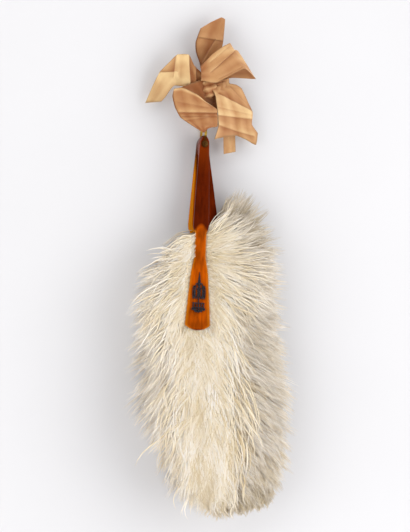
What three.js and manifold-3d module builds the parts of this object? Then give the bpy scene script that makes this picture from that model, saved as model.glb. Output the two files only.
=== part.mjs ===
// Folding fan of ostrich plumes on blond shell sticks, closed and lying on its back.
// Millimetres. The rivet's axis is Z. The sticks point to -Y, their heads to +Y and the
// front guard faces +Z. The flat back end of the rivet and the back plume lie on z = 0.
// Every leaf, a stick with its plume, keeps to a layer of its own whose faces are surfaces
// of revolution about the rivet, so the leaves pass over each other at any angle.
import * as THREE from 'three';
import { mergeVertices } from 'three/addons/utils/BufferGeometryUtils.js';
import Module from 'manifold-3d';

const wasm = await Module();
wasm.setup();

// Leaves of the stack
const innerSticks = 14;
const lastLeaf = innerSticks + 1;
const stickThickness = 0.95;
const bladeThickness = 0.5;
const guardThickness = 2;
const layerGap = 0.3;
const seatGap = 0.15;
const guardTipPitch = 2.8;
const hubRadius = 18;
const stackLeanDegrees = 8;

// Outline of a leaf, from the rivet to its tip
const headReach = 9.3;
const headPointHalf = 0.9;
const headHalf = 5.2;
const shoulderReach = 98;
const shoulderRound = 9;
const stickShoulderHalf = 9.8;
const guardShoulderHalf = 8.8;
const guardNeckHalf = 6.2;
const guardNeckRun = 24;
const guardNeckEnd = shoulderReach + guardNeckRun;
const guardFlareRun = 28;
const guardFlareEnd = guardNeckEnd + guardFlareRun;
const guardFlareHalf = 10.2;
const guardReach = 206;
const guardTipHalf = 14.2;
const guardTipSag = 5.5;
const guardChamfer = 0.6;
const bladeReach = 184;
const bladeHalf = 3;
const bladeTipHalf = 1.6;

// Steps along each stretch of an outline
const headSteps = 5;
const gorgeSteps = 6;
const gorgeSpacingPower = 1.5;
const gorgeBowShare = 0.3;
const shoulderSteps = 5;
const flareSteps = 7;
const tipSteps = 5;

// Rivet, washers and bail
const rivetRadius = 1.5;
const rivetHeadRadius = 2.75;
const rivetHeadHeight = 1.2;
const rivetDome = 0.5;
const boreClearance = 0.3;
const washerRadius = 4;
const washerThickness = 0.5;
const bailThickness = 0.8;
const bailWidth = 2.6;
const bailEyeRadius = 3.4;
const bailArmReach = 11;
const bailArchRise = 12.6;
const bailArchSteps = 12;
const roundSides = 24;
const boreSides = 16;
const domeEdgeShare = 0.7;

// Plumes
const calamusSetback = 3;
const calamusReach = shoulderReach + calamusSetback;
const calamusHalf = 1.9;
const vaneSetback = 16;
const vaneReach = shoulderReach + vaneSetback;
const rachisEnd = 394;
const plumeBend = 35;
const plumeRows = 16;
const rowSpacingPower = 1.4;
const plumeCrest = 300;
const plumeEaseShare = 0.75;
const plumeCrown = 7;
const guardCover = 23;
const swellSetback = 7;
const swellFromReach = vaneReach + swellSetback;
const swellRun = 31;
const swellToReach = swellFromReach + swellRun;
const coverMostShare = 1 / 3;
const crestShare = 0.6;
const middleShare = 0.5;

// Barbs on each side of a quill: the shares of the way along the vane at which they are
// given, their turn from square to the quill, where minus is towards its tip, and length
const barbPlaceShares = [0, 0.02, 0.055, 0.1, 0.2, 0.35, 0.5, 0.65, 0.8, 0.92, 1];
const leftBarbDegrees = [-12, -9, -12, -18, -30, -36, -42, -56, -61, -68, -85];
const leftBarbLengths = [39, 53, 64, 75, 83, 84, 91, 80, 71, 43, 18];
const rightBarbDegrees = [51, 28, 9, -2, -14, -20, -26, -39, -46, -57, -80];
const rightBarbLengths = [70, 77, 83, 82, 81, 81, 82, 78, 63, 37, 18];
const notchShare = 0.8;

// Thread binding of a quill to its blade
const bindingSetback = 4.4;
const bindingReach = shoulderReach + bindingSetback;
const bindingLength = 6;
const bindingWall = 0.15;
const bindingSide = 0.5;
const bindingGap = 0.1;

// Openwork mount on the front guard
const mountSetback = 42;
const mountReach = guardReach - mountSetback;
const mountThickness = 1.2;
const mountSpire = 22;
const mountSpireFoot = 11;
const mountSpireHalf = 1.5;
const mountRail = 13;
const mountFoot = 18;
const mountFootHalf = 6.8;
const mountBand = 1.1;
const mountSeat = 0.3;
const scrollSteps = 22;
const settingCount = 5;
const settingRadius = 1.7;
const settingSpread = 5.9;
const settingSag = 2.4;
const settingHeight = 1.8;

// Each scroll: how far out and down its centre is, its half width where it starts and
// ends, its height as a multiple of that, and the degrees that it winds through
const mountScrolls = [
  { out: 2.5, down: 0.4, start: 2.4, end: 0.9, tall: 4.6, wind: 470 },
  { out: 5.7, down: 1.8, start: 1.5, end: 0.6, tall: 6.2, wind: 420 },
];

// Ribbon bow
const bowSize = 100;
const ribbonThickness = 1.2;
const ribbonPassThickness = 4;
const ribbonPassHalf = 4.6;
const slopeShare = 0.001;
const foldFadeShare = 0.75;
const loopRoundShare = 0.8;
const rootDepthShare = 0.3;
const passFlareShare = 0.6;
const knotRipples = 7;
const knotRippleShare = 0.08;
const tailSteps = [12, 8];
const loopSteps = [16, 8];
const passSteps = [16, 4];
const knotSides = [20, 12];

const shellAmber = { colour: 0xa8571f, roughness: 0.25, metalness: 0 };
const shellDark = { colour: 0x7a3413, roughness: 0.25, metalness: 0 };
const plumeCream = { colour: 0xeadfc8, roughness: 0.9, metalness: 0 };
const plumeShade = { colour: 0xdccfb4, roughness: 0.9, metalness: 0 };
const gilt = { colour: 0xc9a14a, roughness: 0.3, metalness: 1 };
const silver = { colour: 0x55524d, roughness: 0.4, metalness: 1 };
const silk = { colour: 0xd9a878, roughness: 0.6, metalness: 0 };
const thread = { colour: 0xb99b6b, roughness: 0.8, metalness: 0 };

const radians = THREE.MathUtils.degToRad;
const lerp = THREE.MathUtils.lerp;
const smooth = (value, low, high) => THREE.MathUtils.smoothstep(value, low, high);
const counted = (count, make) => Array.from({ length: count }, (_, index) => make(index));

// Heights along the rivet, from its back end to its front end
const backEyeFloor = rivetHeadHeight + layerGap / 2;
const backWasherFloor = backEyeFloor + bailThickness + layerGap / 2;
const stackFloor = backWasherFloor + washerThickness + layerGap;
const rootPitch = stickThickness + layerGap;
const sticksFloor = stackFloor + guardThickness - stickThickness;
const guardFloor = sticksFloor + lastLeaf * rootPitch;
const frontWasherFloor = guardFloor + guardThickness + layerGap;
const frontEyeFloor = frontWasherFloor + washerThickness + layerGap / 2;
const frontHeadFloor = frontEyeFloor + bailThickness + layerGap / 2;

// The layers spread as a hyperbola that is flat at the rivet and straight along the sticks.
// Past the guards the slope eases off evenly, as the ends of the plumes sag together.
const spread = (radius) => Math.hypot(radius, hubRadius) - hubRadius;
const spreadSlope = (guardTipPitch - rootPitch) / spread(guardReach);

function pitchAt(radius) {
  const past = Math.max(0, radius - guardReach);
  const eased = (past * past) / (2 * (rachisEnd - guardReach));
  return rootPitch + spreadSlope * (spread(radius) - plumeEaseShare * eased);
}

const layerFloor = (leaf, radius) => (leaf === 0 ? stackFloor : sticksFloor + leaf * pitchAt(radius));
const layerRoof = (leaf, radius) => sticksFloor + (leaf + 1) * pitchAt(radius) - layerGap;
const frontGuardFloor = (radius) => layerFloor(lastLeaf, radius) + pitchAt(radius) - rootPitch;
const frontGuardFace = (radius) => frontGuardFloor(radius) + guardThickness;

// A stick thins evenly on both faces from its gorge to its blade.
const bladeLift = bindingWall + bindingGap;
const bladeShare = (radius) => smooth(radius, shoulderReach - shoulderRound, shoulderReach + layerGap);
const stickLow = (leaf) => (radius) => layerFloor(leaf, radius) + bladeLift * bladeShare(radius);
const stickDepth = (radius) => lerp(stickThickness, bladeThickness, bladeShare(radius));
const stickHigh = (leaf) => (radius) => stickLow(leaf)(radius) + stickDepth(radius);

function closedGeometry(points, faces) {
  const geometry = new THREE.BufferGeometry();
  geometry.setAttribute('position', new THREE.Float32BufferAttribute(points.flat(), 3));
  geometry.setIndex(faces.flat());
  return geometry;
}

// Skin over rings of equal length, closed by a fan at each end. A ring runs clockwise
// when it is seen from the ring before it.
function loft(rings) {
  const size = rings[0].length;
  const faces = [];
  for (let ring = 0; ring + 1 < rings.length; ring += 1) {
    for (let place = 0; place < size; place += 1) {
      const a = ring * size + place;
      const b = ring * size + (place + 1) % size;
      faces.push([a, b, b + size], [a, b + size, a + size]);
    }
  }
  const last = (rings.length - 1) * size;
  for (let place = 1; place + 1 < size; place += 1) {
    faces.push([0, place + 1, place]);
    faces.push([last, last + place, last + place + 1]);
  }
  return closedGeometry(rings.flat(), faces);
}

function solidOf(geometry) {
  const bare = new THREE.BufferGeometry();
  bare.setAttribute('position', geometry.getAttribute('position'));
  bare.setIndex(geometry.getIndex());
  const merged = mergeVertices(bare);
  return new wasm.Manifold(new wasm.Mesh({
    numProp: 3,
    vertProperties: new Float32Array(merged.getAttribute('position').array),
    triVerts: new Uint32Array(merged.getIndex().array),
  }));
}

function geometryOf(solid) {
  const mesh = solid.getMesh();
  const geometry = new THREE.BufferGeometry();
  geometry.setAttribute('position', new THREE.BufferAttribute(mesh.vertProperties, 3));
  geometry.setIndex(new THREE.BufferAttribute(mesh.triVerts, 1));
  return geometry;
}

function joined(geometries) {
  return geometries.map(solidOf).reduce((whole, piece) => whole.add(piece));
}

// Outlines as pairs of a reach from the rivet and a half width there

// The head is a pointed arch, and the gorge swells from the rivet to the shoulder.
function gorgeOutline(shoulderHalf) {
  const head = counted(headSteps, (step) => {
    const rise = 1 - step / headSteps;
    return [-headReach * rise, lerp(headHalf, headPointHalf, rise * rise)];
  });
  const gorge = counted(gorgeSteps, (step) => {
    const along = Math.pow(step / gorgeSteps, gorgeSpacingPower);
    const swell = along + gorgeBowShare * along * (1 - along);
    return [along * (shoulderReach - shoulderRound), lerp(headHalf, shoulderHalf, swell)];
  });
  return [...head, ...gorge];
}

// Below the gorge a quarter round draws the leaf in to its neck.
function shoulderOutline(shoulderHalf, neckHalf) {
  return counted(shoulderSteps, (step) => {
    const turn = (Math.PI / 2) * (step / (shoulderSteps - 1));
    return [
      shoulderReach - shoulderRound * (1 - Math.sin(turn)),
      neckHalf + (shoulderHalf - neckHalf) * Math.cos(turn),
    ];
  });
}

function stickOutline() {
  return [
    ...gorgeOutline(stickShoulderHalf),
    ...shoulderOutline(stickShoulderHalf, bladeHalf),
    [(shoulderReach + bladeReach) / 2, (bladeHalf + bladeTipHalf) / 2],
    [bladeReach, bladeTipHalf],
  ];
}

// A guard flares again below its neck and ends in a shallow round.
function guardOutline() {
  const flare = counted(flareSteps, (step) => {
    const along = step / (flareSteps - 1);
    return [
      lerp(guardNeckEnd, guardFlareEnd, along),
      lerp(guardNeckHalf, guardFlareHalf, smooth(along, 0, 1)),
    ];
  });
  const tipRadius = (guardTipHalf * guardTipHalf + guardTipSag * guardTipSag) / (2 * guardTipSag);
  const tip = counted(tipSteps, (step) => {
    const drop = guardTipSag * (1 - step / tipSteps) ** 2;
    return [guardReach - drop, Math.sqrt(drop * (2 * tipRadius - drop))];
  });
  return [
    ...gorgeOutline(guardShoulderHalf),
    ...shoulderOutline(guardShoulderHalf, guardNeckHalf),
    ...flare,
    ...tip,
  ];
}

// A flat leaf over an outline, between two faces given as heights over the radius
function plank(outline, lowAt, highAt, frontChamfer, backChamfer) {
  const rings = outline.map(([reach, half]) => {
    const edge = Math.hypot(reach, half);
    const front = Math.min(frontChamfer, half / 2);
    const back = Math.min(backChamfer, half / 2);
    const low = lowAt(edge);
    const high = highAt(edge);
    const side = [[half - back, low]];
    if (back > 0) {
      side.push([half, low + back]);
    }
    side.push([half, high - front]);
    if (front > 0) {
      side.push([half - front, high]);
    }
    const right = side.map(([across, height]) => [across, -reach, height]);
    const left = side.toReversed().map(([across, height]) => [-across, -reach, height]);
    return [...right, ...left];
  });
  return loft(rings);
}

function bored(geometry, radius) {
  const depth = 4 * frontHeadFloor;
  const drill = new THREE.CylinderGeometry(radius, radius, depth, boreSides);
  drill.rotateX(Math.PI / 2);
  return geometryOf(solidOf(geometry).subtract(solidOf(drill)));
}

const stickBore = rivetRadius + boreClearance;

function stickGeometry(leaf) {
  return bored(plank(stickOutline(), stickLow(leaf), stickHigh(leaf), 0, 0), stickBore);
}

function frontGuardGeometry() {
  return bored(plank(guardOutline(), frontGuardFloor, frontGuardFace, guardChamfer, 0), stickBore);
}

function backGuardGeometry() {
  const low = () => stackFloor;
  const high = () => stackFloor + guardThickness;
  return bored(plank(guardOutline(), low, high, 0, guardChamfer), stickBore);
}

// Plumes

const rowStep = (rachisEnd - vaneReach) / plumeRows;

// A table's value at a share of the way along the vane
function barbValue(table, along) {
  const next = Math.max(1, barbPlaceShares.findIndex((share) => share >= along));
  const from = barbPlaceShares[next - 1];
  return lerp(table[next - 1], table[next], (along - from) / (barbPlaceShares[next] - from));
}

// The room that a plume has over each point of its layer. Under its stick it lies on the
// blade, and past the blade's end it fills the whole layer.
function plumeRoom(leaf, radius, centred, underGuard) {
  const low = layerFloor(leaf, radius);
  const high = layerRoof(leaf, radius);
  const swell = smooth(radius, swellFromReach, swellToReach);
  const open = underGuard ? 0 : swell;
  if (leaf === 0) {
    return [lerp(stackFloor + guardThickness + seatGap, 0, open), high];
  }
  if (leaf === lastLeaf) {
    const crown = plumeCrown * (1 - smooth(radius, plumeCrest, rachisEnd));
    return [low, lerp(frontGuardFloor(radius) - seatGap, high + crown, open)];
  }
  const pastBlade = smooth(radius, bladeReach + rowStep, guardReach + rowStep);
  const lift = bladeLift + bladeThickness + seatGap;
  return [low + lift * (1 - (centred ? pastBlade : swell)), high];
}

// One row of barbs: a ring that runs along the back face from the left barb tip to the
// right one and returns along the front face
function barbRow(leaf, row) {
  const along = Math.pow(row / plumeRows, rowSpacingPower);
  const reach = lerp(vaneReach, rachisEnd, along);
  const centreX = plumeBend * along * along;
  const notch = row % 2 === 0 ? 1 : notchShare;
  const sideValue = (side, left, right) => barbValue(side < 0 ? left : right, along);
  const full = notch * barbValue(leftBarbLengths, along);
  const coverShare = Math.min(guardCover / full, coverMostShare);
  const outer = leaf === 0 || leaf === lastLeaf;
  const shares = outer ? [coverShare, crestShare] : [middleShare];
  const place = (side, share) => {
    const turn = radians(sideValue(side, leftBarbDegrees, rightBarbDegrees));
    const length = share * notch * sideValue(side, leftBarbLengths, rightBarbLengths);
    return [centreX + side * length * Math.cos(turn), -reach + length * Math.sin(turn)];
  };
  const byGuard = reach < guardReach + layerGap + rowStep;
  const height = ([x, y], centred, front) => {
    const room = plumeRoom(leaf, Math.hypot(x, y), centred, centred && byGuard);
    return [x, y, room[front ? 1 : 0]];
  };
  const tip = (side) => {
    const [x, y] = place(side, 1);
    const radius = Math.hypot(x, y);
    return [x, y, layerFloor(leaf, radius) + (pitchAt(radius) - layerGap) / 2];
  };
  const across = (front) => [
    ...shares.toReversed().map((share) => height(place(-1, share), share === coverShare, front)),
    height([centreX, -reach], true, front),
    ...shares.map((share) => height(place(1, share), share === coverShare, front)),
  ];
  return [tip(-1), ...across(false), tip(1), ...across(true).toReversed()];
}

// The bare end of a quill lies on its stick, and that of the front leaf under its guard.
function calamusRoom(leaf, reach) {
  if (leaf === lastLeaf) {
    return [layerFloor(leaf, reach), frontGuardFloor(reach) - seatGap];
  }
  const seat = leaf === 0 ? stackFloor + guardThickness : stickHigh(leaf)(reach);
  return [seat + bindingGap, layerRoof(leaf, reach) - bindingWall - bindingGap];
}

// The bare end of the quill, with as many points as a row of barbs
function calamusRow(leaf, reach, count) {
  const half = (count - 2) / 2;
  const [floor, high] = calamusRoom(leaf, reach);
  const middle = (floor + high) / 2;
  const across = counted(half, (index) => calamusHalf * ((2 * (index + 1)) / (half + 1) - 1));
  return [
    [-calamusHalf, -reach, middle],
    ...across.map((x) => [x, -reach, floor]),
    [calamusHalf, -reach, middle],
    ...across.toReversed().map((x) => [x, -reach, high]),
  ];
}

function plumeGeometry(leaf) {
  const barbs = counted(plumeRows + 1, (row) => barbRow(leaf, row));
  const count = barbs[0].length;
  const bare = [calamusReach, vaneReach - calamusHalf];
  return loft([...bare.map((reach) => calamusRow(leaf, reach, count)), ...barbs]);
}

// Turns of thread round blade and quill, as one flat sleeve
function bindingGeometry(leaf) {
  const ringAt = (reach, wall) => {
    const half = Math.max(bladeHalf, calamusHalf) + bindingGap + wall * (bindingSide / bindingWall);
    const low = layerFloor(leaf, reach) + bindingWall - wall;
    const high = layerRoof(leaf, reach) - bindingWall + wall;
    return [
      [half, -reach, low],
      [half, -reach, high],
      [-half, -reach, high],
      [-half, -reach, low],
    ];
  };
  const ends = [bindingReach, bindingReach + bindingLength];
  const through = [bindingReach - bindingLength, bindingReach + 2 * bindingLength];
  const sleeve = loft(ends.map((reach) => ringAt(reach, bindingWall)));
  const bore = loft(through.map((reach) => ringAt(reach, 0)));
  return geometryOf(solidOf(sleeve).subtract(solidOf(bore)));
}

// Rivet, washers and bail

function turnedGeometry(profile, sides) {
  const points = profile.map(([radius, height]) => new THREE.Vector2(radius, height));
  const geometry = new THREE.LatheGeometry(points, sides);
  geometry.rotateX(Math.PI / 2);
  geometry.deleteAttribute('normal');
  geometry.deleteAttribute('uv');
  return mergeVertices(geometry);
}

function rivetGeometry() {
  const top = frontHeadFloor + rivetHeadHeight;
  return turnedGeometry([
    [0, 0],
    [rivetHeadRadius, 0],
    [rivetHeadRadius, rivetHeadHeight],
    [rivetRadius, rivetHeadHeight],
    [rivetRadius, frontHeadFloor],
    [rivetHeadRadius, frontHeadFloor],
    [rivetHeadRadius, top - rivetDome],
    [rivetHeadRadius * domeEdgeShare, top - rivetDome * (1 - domeEdgeShare)],
    [0, top],
  ], roundSides);
}

function washerGeometry(floor) {
  return turnedGeometry([
    [stickBore, floor],
    [washerRadius, floor],
    [washerRadius, floor + washerThickness],
    [stickBore, floor + washerThickness],
    [stickBore, floor],
  ], roundSides);
}

// The bail is a strap bent to an arch over the heads, with an eye on each end.
function bailStrap(clearance) {
  const back = backEyeFloor - clearance;
  const front = frontEyeFloor + bailThickness + clearance;
  const wall = bailThickness + 2 * clearance;
  const start = bailEyeRadius / 2;
  const arch = (half, rise) => counted(bailArchSteps + 1, (step) => {
    const turn = Math.PI * (step / bailArchSteps);
    const height = (back + front) / 2 - half * Math.cos(turn);
    return new THREE.Vector2(bailArmReach + rise * Math.sin(turn), height);
  });
  const outline = [
    new THREE.Vector2(start, back),
    ...arch((front - back) / 2, bailArchRise + clearance),
    new THREE.Vector2(start, front),
    new THREE.Vector2(start, front - wall),
    ...arch((front - back) / 2 - wall, bailArchRise + clearance - wall).toReversed(),
    new THREE.Vector2(start, back + wall),
  ];
  const depth = bailWidth + 2 * clearance;
  const strap = new THREE.ExtrudeGeometry(new THREE.Shape(outline), { depth, bevelEnabled: false });
  strap.applyMatrix4(new THREE.Matrix4().makeBasis(
    new THREE.Vector3(0, 1, 0),
    new THREE.Vector3(0, 0, 1),
    new THREE.Vector3(1, 0, 0),
  ));
  strap.translate(-depth / 2, 0, 0);
  return loose(strap);
}

function bailGeometry() {
  const eye = (floor) => {
    const disc = new THREE.CylinderGeometry(bailEyeRadius, bailEyeRadius, bailThickness, roundSides);
    disc.rotateX(Math.PI / 2);
    disc.translate(0, 0, floor + bailThickness / 2);
    return disc;
  };
  const shape = joined([bailStrap(0), eye(backEyeFloor), eye(frontEyeFloor)]);
  return bored(geometryOf(shape), stickBore);
}

// An extrusion has no index, so its corners are merged first.
function loose(geometry) {
  geometry.deleteAttribute('normal');
  geometry.deleteAttribute('uv');
  return mergeVertices(geometry);
}

// Openwork mount: a stem with a spire between tall scrolls, over a gallery of two rails
// with posts and a row of settings

function slab(points) {
  const shape = new THREE.Shape(points.map(([x, y]) => new THREE.Vector2(x, y)));
  return loose(new THREE.ExtrudeGeometry(shape, { depth: mountThickness, bevelEnabled: false }));
}

// A band along an upright oval that winds inwards, with an even width square to its path
function scroll(side, { out, down, start, end, tall, wind }) {
  const rim = (offset) => counted(scrollSteps + 1, (step) => {
    const share = step / scrollSteps;
    const turn = radians(wind * share);
    const radius = lerp(start, end, share);
    const normal = new THREE.Vector2(tall * Math.cos(turn), Math.sin(turn)).setLength(offset);
    const across = radius * Math.cos(turn) + normal.x;
    return [side * (out - across), radius * tall * Math.sin(turn) + normal.y - down];
  });
  const band = [...rim(mountBand / 2), ...rim(-mountBand / 2).toReversed()];
  return slab(side > 0 ? band.toReversed() : band);
}

function setting(x, y, radius) {
  const disc = new THREE.CylinderGeometry(radius, radius, settingHeight, boreSides);
  disc.rotateX(Math.PI / 2);
  disc.translate(x, y, settingHeight / 2);
  return disc;
}

function mountGeometry() {
  const half = mountBand / 2;
  const bar = (left, right, low, high) => slab([[left, low], [right, low], [right, high], [left, high]]);
  const pieces = [
    bar(-half, half, -mountFoot, mountSpireFoot),
    slab([[-half, 0], [half, 0], [mountSpireHalf, mountSpireFoot], [0, mountSpire],
      [-mountSpireHalf, mountSpireFoot]]),
    bar(-mountFootHalf, mountFootHalf, -mountRail, mountBand - mountRail),
    bar(-mountFootHalf, mountFootHalf, -mountFoot, mountBand - mountFoot),
  ];
  for (const side of [-1, 1]) {
    mountScrolls.forEach((shape) => pieces.push(scroll(side, shape)));
  }
  for (let index = 0; index < settingCount; index += 1) {
    const across = (2 * index) / (settingCount - 1) - 1;
    const x = across * settingSpread;
    const sag = settingSag * (1 - across * across);
    pieces.push(bar(x - half, x + half, -mountFoot - sag, mountBand - mountRail));
    pieces.push(setting(x, -mountFoot - settingRadius / 2 - sag, settingRadius));
  }
  const shape = geometryOf(joined(pieces));
  const position = shape.getAttribute('position');
  for (let index = 0; index < position.count; index += 1) {
    const x = position.getX(index);
    const y = position.getY(index) - mountReach;
    const face = frontGuardFace(Math.hypot(x, y)) + mountSeat;
    position.setXYZ(index, x, y, face + position.getZ(index));
  }
  return shape;
}

// Ribbon

// A sheet of even thickness over a surface given by two shares, along and across
function sheetSolid(pointAt, alongSteps, acrossSteps, thickness) {
  const normalAt = (along, across) => {
    const here = pointAt(Math.max(along - slopeShare, 0), across);
    const ahead = pointAt(Math.min(along + slopeShare, 1), across);
    const left = pointAt(along, Math.max(across - slopeShare, 0));
    const right = pointAt(along, Math.min(across + slopeShare, 1));
    return right.sub(left).cross(ahead.sub(here)).normalize();
  };
  const rings = counted(alongSteps + 1, (step) => {
    const along = step / alongSteps;
    const face = (side) => counted(acrossSteps + 1, (place) => {
      const across = place / acrossSteps;
      const offset = normalAt(along, across).multiplyScalar(side * thickness / 2);
      return pointAt(along, across).add(offset).toArray();
    });
    return [...face(1), ...face(-1).toReversed()];
  });
  return strip(rings, acrossSteps);
}

// Skin over the rings of a sheet, closed at each end by a row of quads across it
function strip(rings, acrossSteps) {
  const size = rings[0].length;
  const faces = [];
  for (let ring = 0; ring + 1 < rings.length; ring += 1) {
    for (let place = 0; place < size; place += 1) {
      const a = ring * size + place;
      const b = ring * size + (place + 1) % size;
      faces.push([a, b, b + size], [a, b + size, a + size]);
    }
  }
  const last = (rings.length - 1) * size;
  for (let place = 0; place < acrossSteps; place += 1) {
    const far = size - 1 - place;
    faces.push([far, place + 1, place], [far, far - 1, place + 1]);
    faces.push([last + place, last + place + 1, last + far]);
    faces.push([last + place + 1, last + far - 1, last + far]);
  }
  return closedGeometry(rings.flat(), faces);
}

// Bow points are shares of the bow's size, from the inside of the bail's arch.
const bowOriginY = bailArmReach + bailArchRise - bailThickness;
const bowPoint = ([x, y, z]) => new THREE.Vector3(x * bowSize, bowOriginY + y * bowSize, z * bowSize);
const curveOf = (shares) => new THREE.CatmullRomCurve3(shares.map(bowPoint));

// A tail is one layer between two edges, with folds that fade towards its end.
function tailSurface({ edges, folds, foldShare }) {
  const [left, right] = edges.map(curveOf);
  return (along, across) => {
    const point = left.getPoint(along).lerp(right.getPoint(along), across);
    const wave = Math.sin(Math.PI * 2 * folds * across) * foldShare * (1 - foldFadeShare * along);
    point.z += wave * bowSize;
    return point;
  };
}

// A loop runs out over the top to its fold and comes back beneath.
function loopSurface({ edges, folds, foldShare, depthShare }) {
  const [left, right] = edges.map(curveOf);
  return (along, across) => {
    const turn = Math.PI * along;
    const out = Math.pow(Math.sin(turn), loopRoundShare);
    const point = left.getPoint(out).lerp(right.getPoint(out), across);
    const wave = Math.sin(Math.PI * 2 * folds * across) * foldShare * (1 - foldFadeShare * out);
    const depth = depthShare * lerp(rootDepthShare, 1, out);
    point.z += (wave + Math.cos(turn) * depth) * bowSize;
    return point;
  };
}

const topLoopShares = [
  [[-0.042, 0.435, 0.17], [-0.118, 0.68, 0.14], [-0.147, 0.862, 0.14], [-0.137, 0.962, 0.15],
    [-0.103, 1.065, 0.15]],
  [[0.069, 0.439, 0.17], [0.15, 0.731, 0.14], [0.164, 0.956, 0.14], [0.159, 1.107, 0.15],
    [0.13, 1.197, 0.15]],
];
const upperLoopShares = [
  [[-0.106, 0.62, 0.28], [0.029, 0.743, 0.3], [0.15, 0.848, 0.3], [0.225, 0.865, 0.28]],
  [[-0.094, 0.46, 0.275], [0.055, 0.414, 0.285], [0.29, 0.515, 0.27], [0.556, 0.552, 0.18]],
];
const leftTailShares = [
  [[-0.03, 0.461, 0.21], [-0.126, 0.606, 0.23], [-0.223, 0.699, 0.26], [-0.303, 0.746, 0.26],
    [-0.403, 0.699, 0.25], [-0.486, 0.608, 0.2], [-0.572, 0.45, 0.13], [-0.657, 0.196, 0.08]],
  [[-0.034, 0.294, 0.2], [-0.14, 0.311, 0.215], [-0.238, 0.344, 0.235], [-0.318, 0.366, 0.235],
    [-0.374, 0.369, 0.2], [-0.419, 0.314, 0.16], [-0.447, 0.272, 0.11], [-0.52, 0.21, 0.08]],
];
const lowerLoopShares = [
  [[-0.03, -0.13, 0.31], [-0.192, -0.042, 0.31], [-0.284, 0.017, 0.31], [-0.392, 0.173, 0.33],
    [-0.417, 0.276, 0.33], [-0.404, 0.338, 0.34]],
  [[-0.005, -0.11, 0.31], [0.02, -0.052, 0.31], [0.083, -0.02, 0.3], [0.088, 0.074, 0.29],
    [0.07, 0.18, 0.28], [0.01, 0.285, 0.235]],
];
const rightTailShares = [
  [[0.07, 0.41, 0.2], [0.225, 0.455, 0.22], [0.348, 0.456, 0.2], [0.456, 0.34, 0.17],
    [0.555, 0.192, 0.13], [0.58, 0.044, 0.11], [0.652, -0.045, 0.1]],
  [[0.07, 0.333, 0.2], [0.118, 0.22, 0.22], [0.132, 0.088, 0.21], [0.145, -0.019, 0.19],
    [0.19, -0.13, 0.17], [0.4, -0.103, 0.14], [0.64, -0.173, 0.11]],
];
const shortTailShares = [
  [[0.198, 0.069, 0.15], [0.225, -0.092, 0.145], [0.248, -0.314, 0.12]],
  [[0.354, 0.086, 0.135], [0.378, -0.086, 0.125], [0.392, -0.269, 0.115]],
];

// Each loop and tail: its edges, the number of its folds, their height and a loop's depth
const bowLoops = [
  { name: 'ribbon_loop_top', edges: topLoopShares, folds: 2, foldShare: 0.012, depthShare: 0.05 },
  { name: 'ribbon_loop_upper', edges: upperLoopShares, folds: 2.5, foldShare: 0.012, depthShare: 0.04 },
  { name: 'ribbon_loop_lower', edges: lowerLoopShares, folds: 1.5, foldShare: 0.008, depthShare: 0.022 },
];
const bowTails = [
  { name: 'ribbon_tail_left', edges: leftTailShares, folds: 2, foldShare: 0.012 },
  { name: 'ribbon_tail_right', edges: rightTailShares, folds: 2.5, foldShare: 0.012 },
  { name: 'ribbon_tail_short', edges: shortTailShares, folds: 1, foldShare: 0.004 },
];

const passShares = [
  [-0.075, 0.26, 0.175], [-0.055, 0.1, 0.155], [-0.025, 0, 0.14],
  [0.025, 0, 0.14], [0.05, 0.1, 0.155], [0.08, 0.26, 0.175],
];
const knotCentreShares = [0.013, 0.383, 0.2];
const knotHalfShares = [0.095, 0.125, 0.075];

// The gathered band lies on edge under the arch of the bail and rises to the knot.
function passSolid(clearance) {
  const middle = new THREE.Vector3(0, -layerGap - ribbonPassThickness / 2, 0);
  const path = curveOf(passShares);
  const surface = (along, across) => {
    const point = path.getPoint(along).add(middle);
    const widen = 1 + passFlareShare * Math.abs(2 * along - 1);
    point.z += (2 * across - 1) * (ribbonPassHalf * widen + clearance);
    return point;
  };
  return solidOf(sheetSolid(surface, ...passSteps, ribbonPassThickness + 2 * clearance));
}

function knotSolid(clearance) {
  const knot = new THREE.SphereGeometry(1, ...knotSides);
  const position = knot.getAttribute('position');
  const centre = bowPoint(knotCentreShares);
  const [halfX, halfY, halfZ] = knotHalfShares.map((share) => share * bowSize + clearance);
  for (let index = 0; index < position.count; index += 1) {
    const point = new THREE.Vector3().fromBufferAttribute(position, index);
    const turn = Math.atan2(point.y, point.x);
    const ripple = 1 + knotRippleShare * Math.sin(knotRipples * turn) * (1 - point.z * point.z);
    position.setXYZ(
      index,
      centre.x + point.x * ripple * halfX,
      centre.y + point.y * ripple * halfY,
      centre.z + point.z * halfZ,
    );
  }
  return solidOf(knot);
}

// Assembly

const fan = new THREE.Group();

function addMesh(parent, name, geometry, finish) {
  geometry.computeVertexNormals();
  const material = new THREE.MeshStandardMaterial({
    color: finish.colour,
    roughness: finish.roughness,
    metalness: finish.metalness,
  });
  const mesh = new THREE.Mesh(geometry, material);
  mesh.name = name;
  parent.add(mesh);
}

// The closed leaves lean out to the right in an even bow between the two guards.
function leafGroup(leaf) {
  const group = new THREE.Group();
  group.rotation.z = radians(stackLeanDegrees) * Math.sin((Math.PI * leaf) / lastLeaf);
  fan.add(group);
  return group;
}

function addInnerLeaf(number) {
  const leaf = lastLeaf - number;
  const tag = String(number).padStart(2, '0');
  const group = leafGroup(leaf);
  addMesh(group, `stick_${tag}`, stickGeometry(leaf), shellDark);
  addMesh(group, `plume_${tag}`, plumeGeometry(leaf), number % 2 ? plumeShade : plumeCream);
  addMesh(group, `quill_binding_${tag}`, bindingGeometry(leaf), thread);
}

addMesh(fan, 'rivet', rivetGeometry(), gilt);
addMesh(fan, 'washer_back', washerGeometry(backWasherFloor), gilt);
addMesh(fan, 'washer_front', washerGeometry(frontWasherFloor), gilt);

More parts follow.
